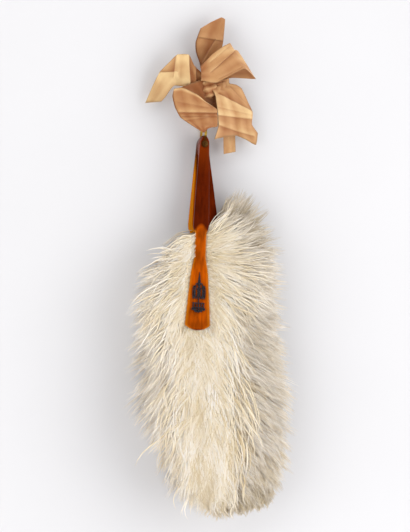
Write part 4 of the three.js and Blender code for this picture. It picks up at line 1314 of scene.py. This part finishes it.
def bow_points(shares):
    """Shares of the bow's size, from the inside of the bail's arch, as points in mm."""
    return np.asarray(shares, float) * BOW_SIZE + (0, BOW_ORIGIN, 0)


def curve_at(shares, along, crisp=0.0):
    """A Catmull-Rom curve through bow points, read at shares of its run of points. A crisp
    share of it is drawn in to the straight lines between the points."""
    points = bow_points(shares)
    ends = np.concatenate([[2 * points[0] - points[1]], points, [2 * points[-1] - points[-2]]])
    place = np.clip(along, 0, 1) * (len(points) - 1)
    index = np.minimum(place.astype(int), len(points) - 2)
    t = (place - index)[..., None]
    a, b, c, d = (ends[index + shift] for shift in range(4))
    curve = 0.5 * (2 * b + (c - a) * t + (2 * a - 5 * b + 4 * c - d) * t ** 2
                   + (3 * b - a - 3 * c + d) * t ** 3)
    return lerp(curve, lerp(b, c, t), crisp)


def zigzag(value):
    """A wave of straight slopes between -1 and 1, with one rise and fall to each unit."""
    return 4 * np.abs(value - np.floor(value + 0.5)) - 1


def crumple(along, across, rng, size):
    """Seven sine waves in random directions, as fabric that was folded away for long. The
    more a wave turns along and across, the lower it is."""
    turns = zip(rng.normal(0, 2.4, 7), rng.normal(0, 2.0, 7), rng.uniform(0, 6.3, 7))
    return size * sum(
        np.sin(2 * math.pi * (f * along + g * across) + phase) / (1 + abs(f) + abs(g))
        for f, g, phase in turns)


def sheet_part(points, tints):
    """A grid of points with its quads and colours."""
    rows, columns, _ = points.shape
    return points.reshape(-1, 3), grid_quads(rows, columns), [], tints.reshape(-1, 4)


# The silk's weave, how far it is mottled, and the most of the colour of the painted shade lines
# of creases and of soiled edges in it. The ribs are drawn 0.75 mm apart, which is several times
# as coarse as taffeta's, so that they can show.
WEAVE = {"Scale": 420.0, "Distortion": 1.5, "Detail": 2.0}
MOTTLE = 0.55
CREASE_SHARE = 0.7
SOIL_SHARE = 0.6


def silk_material(settings):
    """Faded silk taffeta: crisp plain weave, salmon in the folds' painted shade and straw where it
    faded most and painted light falls.
    """
    material, tree, shader = new_material("faded_silk_taffeta", {
        "Roughness": 0.62, "Specular IOR Level": 0.35, "Sheen Weight": 0.3,
        "Sheen Roughness": 0.35,
    })
    fold = add_node(tree, "ShaderNodeAttribute", attribute_name="fold")
    split = add_node(tree, "ShaderNodeSeparateColor", links={"Color": (fold, "Color")})
    place = add_node(tree, "ShaderNodeTexCoord")
    cloud = add_node(
        tree, "ShaderNodeTexNoise", {"Scale": 38.0, "Detail": 4.0, "Roughness": 0.6},
        {"Vector": (place, "Object")})
    faint = add_node(tree, "ShaderNodeMath", {1: MOTTLE, 2: -MOTTLE / 2}, {0: (cloud, "Fac")},
                     operation="MULTIPLY_ADD")
    level = add_node(tree, "ShaderNodeMath", links={0: (split, "Red"), 1: (faint, 0)},
                     operation="ADD")
    tint = add_node(
        tree, "ShaderNodeValToRGB", links={"Fac": (level, 0)},
        stops=[(0.0, (*settings.salmon, 1)), (1.0, (*settings.straw, 1)),
               (0.5, (*settings.peach, 1))],
    )
    warp, weft = (
        add_node(tree, "ShaderNodeTexWave", WEAVE, {"Vector": (place, "Object")},
                 bands_direction=direction)
        for direction in ("X", "Y"))
    cloth = add_node(tree, "ShaderNodeMath", links={0: (warp, "Fac"), 1: (weft, "Fac")},
                     operation="MULTIPLY")
    # Painted shade: the dark lines of creases, of a pocket's hollow and of the knot's pleats
    wear_and_shade = add_node(tree, "ShaderNodeMath", {1: CREASE_SHARE}, {0: (split, "Green")},
                    operation="MULTIPLY")
    creased = blended(tree, (wear_and_shade, 0), (tint, "Color"), (*settings.crease, 1))
    darkened = add_node(tree, "ShaderNodeMath", {1: SOIL_SHARE}, {0: (split, "Blue")},
                      operation="MULTIPLY")
    edged = blended(tree, (darkened, 0), (creased, COLOUR_OUT), (*settings.selvedge, 1))
    tree.links.new(edged.outputs[COLOUR_OUT], shader.inputs["Base Color"])
    bump_from(tree, shader, cloth, 0, 0.25, 0.08)
    return material


# Each piece of the bow: the number of folds, how far they swing across it on the way out,
# the least height of a fold and the size of the crumples in mm, and how faded it is, from 0
# for salmon to 1 for straw, which holds its real fading with the painted light of a single
# layer over the table and painted shade on pieces that lie deep
BOW_FOLDS = {
    "ribbon_loop_top": (1.6, 0.15, 0.3, 0.5, 0.24),
    "ribbon_loop_upper": (2.4, -0.2, 0.4, 0.5, 0.5),
    "ribbon_loop_lower": (3.0, 0.25, 0.3, 0.5, 0.24),
    "ribbon_tail_left": (1.5, 0.3, 0.3, 0.6, 0.8),
    "ribbon_tail_right": (3.4, -0.1, 0.4, 0.5, 0.5),
    "ribbon_tail_short": (1.0, 0.1, 0.2, 0.3, 0.45),
}

# Pressed creases in plan: from and to in shares of the bow, the height of the raised side,
# which is on the left, how far it and its painted shade reach in mm, how much painted light it
# gets, with painted shade on the other side, and how dark the painted shade line is
BOW_CREASES = {
    "ribbon_loop_top": (
        (-0.136, 0.955, 0.142, 0.938, 1.0, 6, 0.12, 0.9),
        (0.058, 0.949, -0.082, 0.668, 1.0, 6, 0.12, 1.0),
    ),
    "ribbon_loop_upper": (
        (0.0, 0.56, 0.262, 0.828, 1.5, 9, 0.14, 0.8),
        (0.1, 0.5, 0.36, 0.66, 1.1, 6, 0.1, 0.4),
        (-0.02, 0.66, 0.19, 0.87, 0.6, 4, 0.12, 0.2),
    ),
    "ribbon_loop_lower": (
        (-0.34, 0.085, 0.11, 0.12, 1.4, 6, 0.35, 0.6),
        (-0.3, 0.045, 0.11, 0.085, 1.0, 3, 0.14, 0.7),
        (-0.273, 0.0, 0.0, 0.062, 0.8, 4, 0.14, 0.4),
        (-0.36, 0.2, 0.0, 0.17, 0.7, 5, 0.1, 0.2),
    ),
    "ribbon_tail_left": (
        (-0.385, 0.74, -0.395, 0.47, 2.0, 7, 0.3, 0.5),
        (-0.36, 0.542, -0.57, 0.518, 2.0, 14, 0.3, 0.3),
        (-0.205, 0.42, -0.25, 0.74, 2.2, 10, 0.4, 0.5),
        (-0.13, 0.4, -0.16, 0.64, 1.2, 4, 0.2, 0.8),
    ),
    "ribbon_tail_right": (
        (0.54, 0.19, 0.11, 0.335, 1.5, 12, 0.32, 0.3),
        (0.1, 0.098, 0.56, 0.102, 1.6, 9, 0.28, 0.4),
        (0.12, -0.008, 0.59, -0.085, 1.4, 6, 0.26, 0.3),
        (0.53, 0.2, 0.23, 0.44, 0.8, 5, 0.06, 0.2),
        (0.1, 0.19, 0.54, 0.15, 0.7, 4, 0.1, 0.15),
    ),
}

# Widths in mm of the painted shade line of a crease and of the soiled edge of the ribbon
CREASE_LINE = 0.8
SELVEDGE = 0.75

# How far a loop stands open at its turn in mm. A pocket is open at its end instead: it
# comes down on top, turns at its root and goes out again beneath.
LOOP_DEPTHS = {"ribbon_loop_top": 5.0, "ribbon_loop_upper": 3.0, "ribbon_loop_lower": 1.0}
POCKETS = ("ribbon_loop_lower",)

# How much darker some pieces are at their root, by painted shade by the knot, and the share of the
# length where that ends
ROOT_SHADES = {"ribbon_loop_top": 0.5, "ribbon_tail_left": 0.75}
ROOT_REACHES = {"ribbon_loop_top": 0.42, "ribbon_tail_left": 0.5}


def sheet_grid(rows, columns):
    """Shares along and across a sheet at each of its points."""
    return np.meshgrid(np.linspace(0, 1, rows), np.linspace(0, 1, columns), indexing="ij")


def creases(name, x, y):
    """Height, painted light and shade, and painted shade line of a piece's creases over its plan.

    The height is a tent on the raised side that falls to nothing at its reach, and within a
    millimetre past the line. The painted light and shade do so with both signs, light on the
    raised side, and the painted shade line is narrow."""
    height, tone, line = (np.zeros_like(x) for _ in range(3))
    for x0, y0, x1, y1, tall, reach, light, dark in BOW_CREASES.get(name, ()):
        start, end = bow_points([(x0, y0, 0), (x1, y1, 0)])
        ahead = (end - start)[:2]
        length = np.hypot(*ahead)
        ahead = ahead / length
        past = (x - start[0]) * ahead[0] + (y - start[1]) * ahead[1]
        away = (y - start[1]) * ahead[0] - (x - start[0]) * ahead[1]
        near = smooth(past, -2, 2) * (1 - smooth(past, length - 2, length + 2))
        tent = np.maximum(0, 1 - np.abs(away) / reach) * near
        height += tall * tent * smooth(away, -0.5, 0.5)
        tone += light * tent * np.clip(away / 0.6, -1, 1)
        thin = np.maximum(0, 1 - np.abs(away + CREASE_LINE / 2) / CREASE_LINE)
        line = np.maximum(line, dark * near * thin)
    return height, tone, line


def petal(name, rows, columns, rng):
    """A loop, pocket or tail of the bow between its two edges.

    A tail runs once from root to end. A loop goes out over the top and comes back beneath:
    its share out is the 0.8 power of the sine of the turn, and its height above or below
    the edges is the cosine of the turn. Folds are a zigzag across the piece. Its colours
    hold how faded it is, with its painted light and shade, in red, the painted shade lines of its
    creases and of a pocket's hollow in green and its soiled edges in blue."""
    folds, swing, least, crumpled, faded = BOW_FOLDS[name]
    along, across = sheet_grid(rows, columns)
    depth = LOOP_DEPTHS.get(name)
    turn = math.pi * along
    under = along > 0.5
    if name in POCKETS:
        out = np.abs(2 * along - 1)
    else:
        out = along if depth is None else np.sin(turn) ** LOOP_POWER

    def stretched(edges):
        left, right = (curve_at(edge, out, EDGE_CRISP) for edge in edges)
        return lerp(left, right, across[..., None]), np.linalg.norm(right - left, axis=2)

    points, span = stretched(BOW_EDGES[name])
    if name in BOW_ENDS:
        left, right = (bow_points(edge[-1]) for edge in BOW_EDGES[name])
        straight = lerp(left, right, across[..., None])
        bulge = (curve_at(BOW_ENDS[name], across, EDGE_CRISP) - straight) * (out ** 4)[..., None]
        points += np.where(under[..., None] & (name in POCKETS), 0, bulge)
    if name in BOW_BACKS:
        beneath, wide = stretched(BOW_BACKS[name])
        share = under * np.ones_like(out) if name in POCKETS else smooth(along, *TURN_SHARES)
        points = lerp(points, beneath, share[..., None])
        span = lerp(span, wide, share)
    ridge = zigzag(folds * across + swing * out + FOLD_PHASE)
    height = ridge * least + crumple(out, across, rng, crumpled)
    raised, tone, line = creases(name, points[..., 0], points[..., 1])
    seen = np.where(under & (depth is not None), 0, 1)
    height = height + raised * seen
    if depth is not None:
        height = height + np.cos(turn) * depth * lerp(ROOT_OPEN, 1, out)
    points[..., 2] += height
    edge = np.maximum(0, 1 - np.minimum(across, 1 - across) * span / SELVEDGE)
    if depth is None or name in POCKETS:
        edge = np.maximum(edge, np.maximum(0, 1 - (1 - out) * END_LENGTH / SELVEDGE))
    # Painted light on the folds' ridges and the creases' raised sides, painted shade on their
    # other sides, random fade in the crumples
    fade_and_shade = faded + RIDGE_PAINTED_LIGHT * ridge + crumple(out, across, rng, CRUMPLE_FADE) + tone * seen
    # Painted shade on the layer beneath
    fade_and_shade = fade_and_shade - BENEATH_SHADE * (1 - seen)
    # Painted shade at the root, by the knot
    root = 1 - smooth(out, 0, ROOT_REACHES.get(name, ROOT_REACH))
    fade_and_shade = fade_and_shade - ROOT_SHADES.get(name, ROOT_SHADE) * root
    # Painted shade in the hollow of a pocket, drawn in the dark line colour
    hollow = HOLLOW_PAINTED_SHADE * (1 - seen) * smooth(points[..., 0], *HOLLOW_PLACE) * (name in POCKETS)
    line = np.maximum(line * seen, hollow)
    # Painted highlight on a pocket's lip
    if name in POCKETS:
        fade_and_shade = fade_and_shade + LIP_PAINTED_HIGHLIGHT * seen * smooth(out, *LIP_PLACE)
    tints = np.stack([np.clip(fade_and_shade, 0, 1), line, edge, np.ones_like(along)], -1)
    return sheet_part(points, tints)


def pass_part(rows=40, columns=25):
    """The band on edge through the bail: its pleats are a zigzag across its width, square to
    its path. It widens evenly from the middle of the path to both ends."""
    along, across = sheet_grid(rows, columns)
    path = curve_at(PASS_PATH, along)
    ahead = unit(np.gradient(path, axis=0))
    square = np.stack([ahead[..., 1], -ahead[..., 0], np.zeros_like(along)], -1)
    wide = PASS_HALF * (1 + PASS_WIDENS * np.abs(2 * along - 1))
    pleat = zigzag(PASS_PLEATS * across)
    points = path + square * (PASS_DEPTH * pleat)[..., None]
    points[..., 1] -= PASS_BACK
    points[..., 2] += (2 * across - 1) * wide
    # Painted light and shade on the band's pleats
    mean, swing = PASS_FADE_AND_LIGHT
    tints = np.stack([mean + swing * pleat, 0 * along, 0 * along, 1 + 0 * along], -1)
    return sheet_part(points, tints)


def knot_part(rows=140, columns=60):
    """The twist of the knot: an open wrap round the gathers, crumpled into slanting pleats.

    Its radius swells and sinks with a zigzag that climbs along the run, and with crumples."""
    along, across = sheet_grid(rows, columns)
    centre = bow_points(KNOT_CENTRE)
    half_x, half_y, half_z = (share * BOW_SIZE for share in KNOT_HALVES)
    turn = 2 * math.pi * KNOT_TURNS * along
    lean = (2 * across - 1) * KNOT_LEAN
    sway, rate = KNOT_SWAY
    pleat = zigzag(KNOT_PLEATS[0] * across + KNOT_PLEATS[1] * along + sway * np.sin(rate * along))
    cross = zigzag(KNOT_CREASES[0] * across + KNOT_CREASES[1] * along + KNOT_CREASES[2])
    swell = 1 - KNOT_WIND * along + KNOT_SWELLS[0] * pleat + KNOT_SWELLS[1] * cross
    round_in = np.cos(lean) ** KNOT_ROUND * swell
    points = np.stack([
        centre[0] + half_x * np.cos(turn) * round_in,
        centre[1] + half_y * np.sin(lean) * KNOT_TALL,
        centre[2] + half_z * np.sin(turn) * round_in,
    ], -1)
    # Painted light on the pleats' and creases' crests and painted shade in the pleats' bottoms
    mean, by_pleat, by_crease = KNOT_FADE_AND_LIGHT
    fade_and_shade = np.clip(mean + by_pleat * pleat + by_crease * cross, 0, 1)
    depth, darkness = KNOT_PAINTED_SHADE
    dark = np.clip(-depth - pleat, 0, 1) * darkness
    tints = np.stack([fade_and_shade, dark, 0 * along, 1 + 0 * along], -1)
    return sheet_part(points, np.clip(tints, 0, 1))


# Salmon is the silk faded least and in painted shade, peach in common light, straw faded most and
# in painted light; crease is the colour of the painted shade lines of creases, of a pocket's
# hollow and of the knot's pleats.
class FanRibbonSettings(bpy.types.PropertyGroup):
    thickness: FloatProperty(
        name="Thickness", description="Thickness of the ribbon", default=0.25 * MM, min=0.0,
        unit="LENGTH")
    salmon: FloatVectorProperty(
        name="Salmon", description="Silk in the folds", subtype="COLOR", size=3, min=0.0,
        max=1.0, default=colour("#925528"))
    peach: FloatVectorProperty(
        name="Peach", description="Silk in common light", subtype="COLOR", size=3, min=0.0,
        max=1.0, default=colour("#BA8A5A"))
    straw: FloatVectorProperty(
        name="Straw", description="Silk faded most", subtype="COLOR", size=3, min=0.0,
        max=1.0, default=colour("#DDBC88"))
    crease: FloatVectorProperty(
        name="Crease", description="Silk in a pressed crease", subtype="COLOR", size=3, min=0.0,
        max=1.0, default=colour("#6E4526"))
    selvedge: FloatVectorProperty(
        name="Selvedge", description="Soiled edge of the ribbon", subtype="COLOR", size=3,
        min=0.0, max=1.0, default=colour("#7A5C38"))


class FAN_OT_ribbon(bpy.types.Operator):
    """Ties the ribbon bow: the band through the bail, the knot, three loops and three tails"""

    bl_idname = "fan.ribbon"
    bl_label = "Ribbon bow"

    def execute(self, context):
        settings = context.scene.fan_ribbon
        silk = silk_material(settings)
        rng = np.random.default_rng(BOW_SEED)
        parts = {name: petal(name, 140, 70, rng) for name in BOW_EDGES}
        parts["ribbon_pass"] = pass_part()
        parts["ribbon_knot"] = knot_part()
        for name, part in parts.items():
            piece = add_piece(f"{name}_silk", part, silk, attribute="fold")
            wall = piece.modifiers.new("wall", "SOLIDIFY")
            wall.thickness = settings.thickness
            wall.offset = 0.0
            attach(piece, "bow")
            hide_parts(name)
        return {"FINISHED"}


# Stage

class FanStageSettings(bpy.types.PropertyGroup):
    floor: FloatVectorProperty(
        name="Floor", description="Colour of the table", subtype="COLOR", size=3, min=0.0,
        max=1.0, default=colour("#DCDBDD"))
    left_power: FloatProperty(
        name="Left softbox", description="Power of the left softbox in watts", default=12.5,
        min=0.0)
    right_power: FloatProperty(
        name="Right softbox", description="Power of the right softbox in watts", default=22.5,
        min=0.0)
    head_power: FloatProperty(
        name="Head softbox", description="Power of the softbox past the bow in watts", default=6.0,
        min=0.0)
    foot_power: FloatProperty(
        name="Foot softbox", description="Power of the softbox past the plumes in watts",
        default=10.5, min=0.0)
    walls: FloatProperty(
        name="Walls", description="Brightness of the white walls round the table", default=1.8,
        min=0.0)
    ceiling: FloatProperty(
        name="Ceiling", description="Brightness of the dark ceiling", default=0.03, min=0.0)


# The camera: what it looks at and from how far in mm, its angles in degrees, and the height of
# the photograph in mm, which is its pixels times their size on the table
CAMERA_TARGET = (14.68, -135.47, 0.0)
CAMERA_DISTANCE = 1500.0
CAMERA_TILT = 12.2
CAMERA_ROLL = 3.75
FRAME_HEIGHT = 532 * 1.131
SENSOR = 36.0

# The table's half side in mm, each softbox's place and side in metres, and what they face
TABLE_HALF = 4000.0
SOFTBOXES = {
    "left": ((-1.6, -0.1, 1.3), 1.8),
    "right": ((1.6, -0.2, 1.5), 1.8),
    "head": ((0.1, 1.55, 1.25), 1.5),
    "foot": ((0.0, -1.9, 1.25), 1.6),
}
FAN_MIDDLE = (0.02, -0.13, 0.0)


def add_camera():
    """The camera looks down, tilted to the left by the tilt and turned by the roll, so that
    the fan stands turned clockwise. The lens is sensor times distance over frame height."""
    tilt, roll = math.radians(CAMERA_TILT), math.radians(CAMERA_ROLL)
    right = Vector((math.cos(tilt), 0, math.sin(tilt)))
    ahead = Vector((0, 1, 0))
    across = right * math.cos(roll) + ahead * math.sin(roll)
    upward = ahead * math.cos(roll) - right * math.sin(roll)
    back = across.cross(upward)
    data = bpy.data.cameras.new("camera")
    data.sensor_width = SENSOR
    data.lens = SENSOR * CAMERA_DISTANCE / FRAME_HEIGHT
    data.clip_start = 0.05
    camera = bpy.data.objects.new("camera", data)
    axes = Matrix((across, upward, back)).transposed().to_4x4()
    spot = (Vector(CAMERA_TARGET) + back * CAMERA_DISTANCE) * MM
    camera.matrix_world = Matrix.Translation(spot) @ axes
    bpy.context.scene.collection.objects.link(camera)
    bpy.context.scene.camera = camera


def add_softbox(name, spot, size, power):
    """A square softbox at a spot in metres that faces the middle of the fan."""
    data = bpy.data.lights.new(name, "AREA")
    data.shape = "SQUARE"
    data.size = size
    data.energy = power
    lamp = bpy.data.objects.new(name, data)
    lamp.location = spot
    aim = Vector(FAN_MIDDLE) - Vector(spot)
    lamp.rotation_euler = aim.to_track_quat("-Z", "Y").to_euler()
    bpy.context.scene.collection.objects.link(lamp)


def floor_material(settings):
    """Matt white paper board: a slight mottle in its white. Its tooth is too fine to show,
    and is left to the roughness."""
    material, tree, shader = new_material("white_paper_board", {
        "Roughness": 0.9, "Specular IOR Level": 0.1,
    })
    place = add_node(tree, "ShaderNodeTexCoord")
    mottle = add_node(tree, "ShaderNodeTexNoise", {"Scale": 6.0, "Detail": 3.0},
                      {"Vector": (place, "Object")})
    white = (*settings.floor, 1)
    tint = add_node(tree, "ShaderNodeValToRGB", links={"Fac": (mottle, "Fac")},
                    stops=[(0.3, tuple(v * 0.985 for v in white)), (0.7, white)])
    tree.links.new(tint.outputs["Color"], shader.inputs["Base Color"])
    return material


def studio_walls(settings):
    """White walls under a dark ceiling: the flat shell mirrors the ceiling and stays deep."""
    world = bpy.data.worlds.new("studio_walls")
    world.use_nodes = True
    tree = world.node_tree
    place = add_node(tree, "ShaderNodeTexCoord")
    split = add_node(tree, "ShaderNodeSeparateXYZ", links={0: (place, "Object")})
    height = add_node(
        tree, "ShaderNodeValToRGB", links={"Fac": (split, "Z")},
        stops=[(0.5, (*[settings.walls] * 3, 1)), (0.78, (*[settings.ceiling] * 3, 1))])
    tree.links.new(height.outputs["Color"], tree.nodes["Background"].inputs["Color"])
    return world


class FAN_OT_stage(bpy.types.Operator):
    """Sets the white table, the softboxes, the walls and the camera"""

    bl_idname = "fan.stage"
    bl_label = "Stage"

    def execute(self, context):
        settings = context.scene.fan_stage
        corners = TABLE_HALF * np.array([[-1, -1, 0], [1, -1, 0], [1, 1, 0], [-1, 1, 0]])
        part = (corners, [[0, 1, 2, 3]], [], np.ones((4, 4)))
        floor = add_piece("table_board", part, floor_material(settings), smooth_faces=False)
        for side, (spot, size) in SOFTBOXES.items():
            add_softbox(f"softbox_{side}", spot, size, getattr(settings, f"{side}_power"))
        context.scene.world = studio_walls(settings)
        context.scene.view_settings.view_transform = "Standard"
        add_camera()
        return {"FINISHED"}


class FAN_PT_build(bpy.types.Panel):
    """Lists the steps that dress the fan"""

    bl_label = "Feather fan"
    bl_idname = "FAN_PT_build"
    bl_space_type = "VIEW_3D"
    bl_region_type = "UI"
    bl_category = "Fan"

    def draw(self, context):
        for operator in OPERATORS:
            self.layout.operator(operator.bl_idname)


SETTINGS = {
    "fan_plumes": FanPlumeSettings,
    "fan_shell": FanShellSettings,
    "fan_metal": FanMetalSettings,
    "fan_ribbon": FanRibbonSettings,
    "fan_stage": FanStageSettings,
}
OPERATORS = (FAN_OT_stage, FAN_OT_leaves, FAN_OT_metal, FAN_OT_plumes, FAN_OT_ribbon)


def register():
    """Registers the classes and hangs each group of settings on the scene."""
    for group in (*SETTINGS.values(), *OPERATORS, FAN_PT_build):
        bpy.utils.register_class(group)
    for name, group in SETTINGS.items():
        setattr(bpy.types.Scene, name, PointerProperty(type=group))


def unregister():
    """Takes the settings and the classes away again."""
    for name in SETTINGS:
        delattr(bpy.types.Scene, name)
    for group in reversed((*SETTINGS.values(), *OPERATORS, FAN_PT_build)):
        bpy.utils.unregister_class(group)


def main():
    """Dresses the fan step by step."""
    register()
    bpy.ops.fan.stage()
    bpy.ops.fan.leaves()
    bpy.ops.fan.metal()
    bpy.ops.fan.plumes()
    bpy.ops.fan.ribbon()


if __name__ == "__main__":
    main()
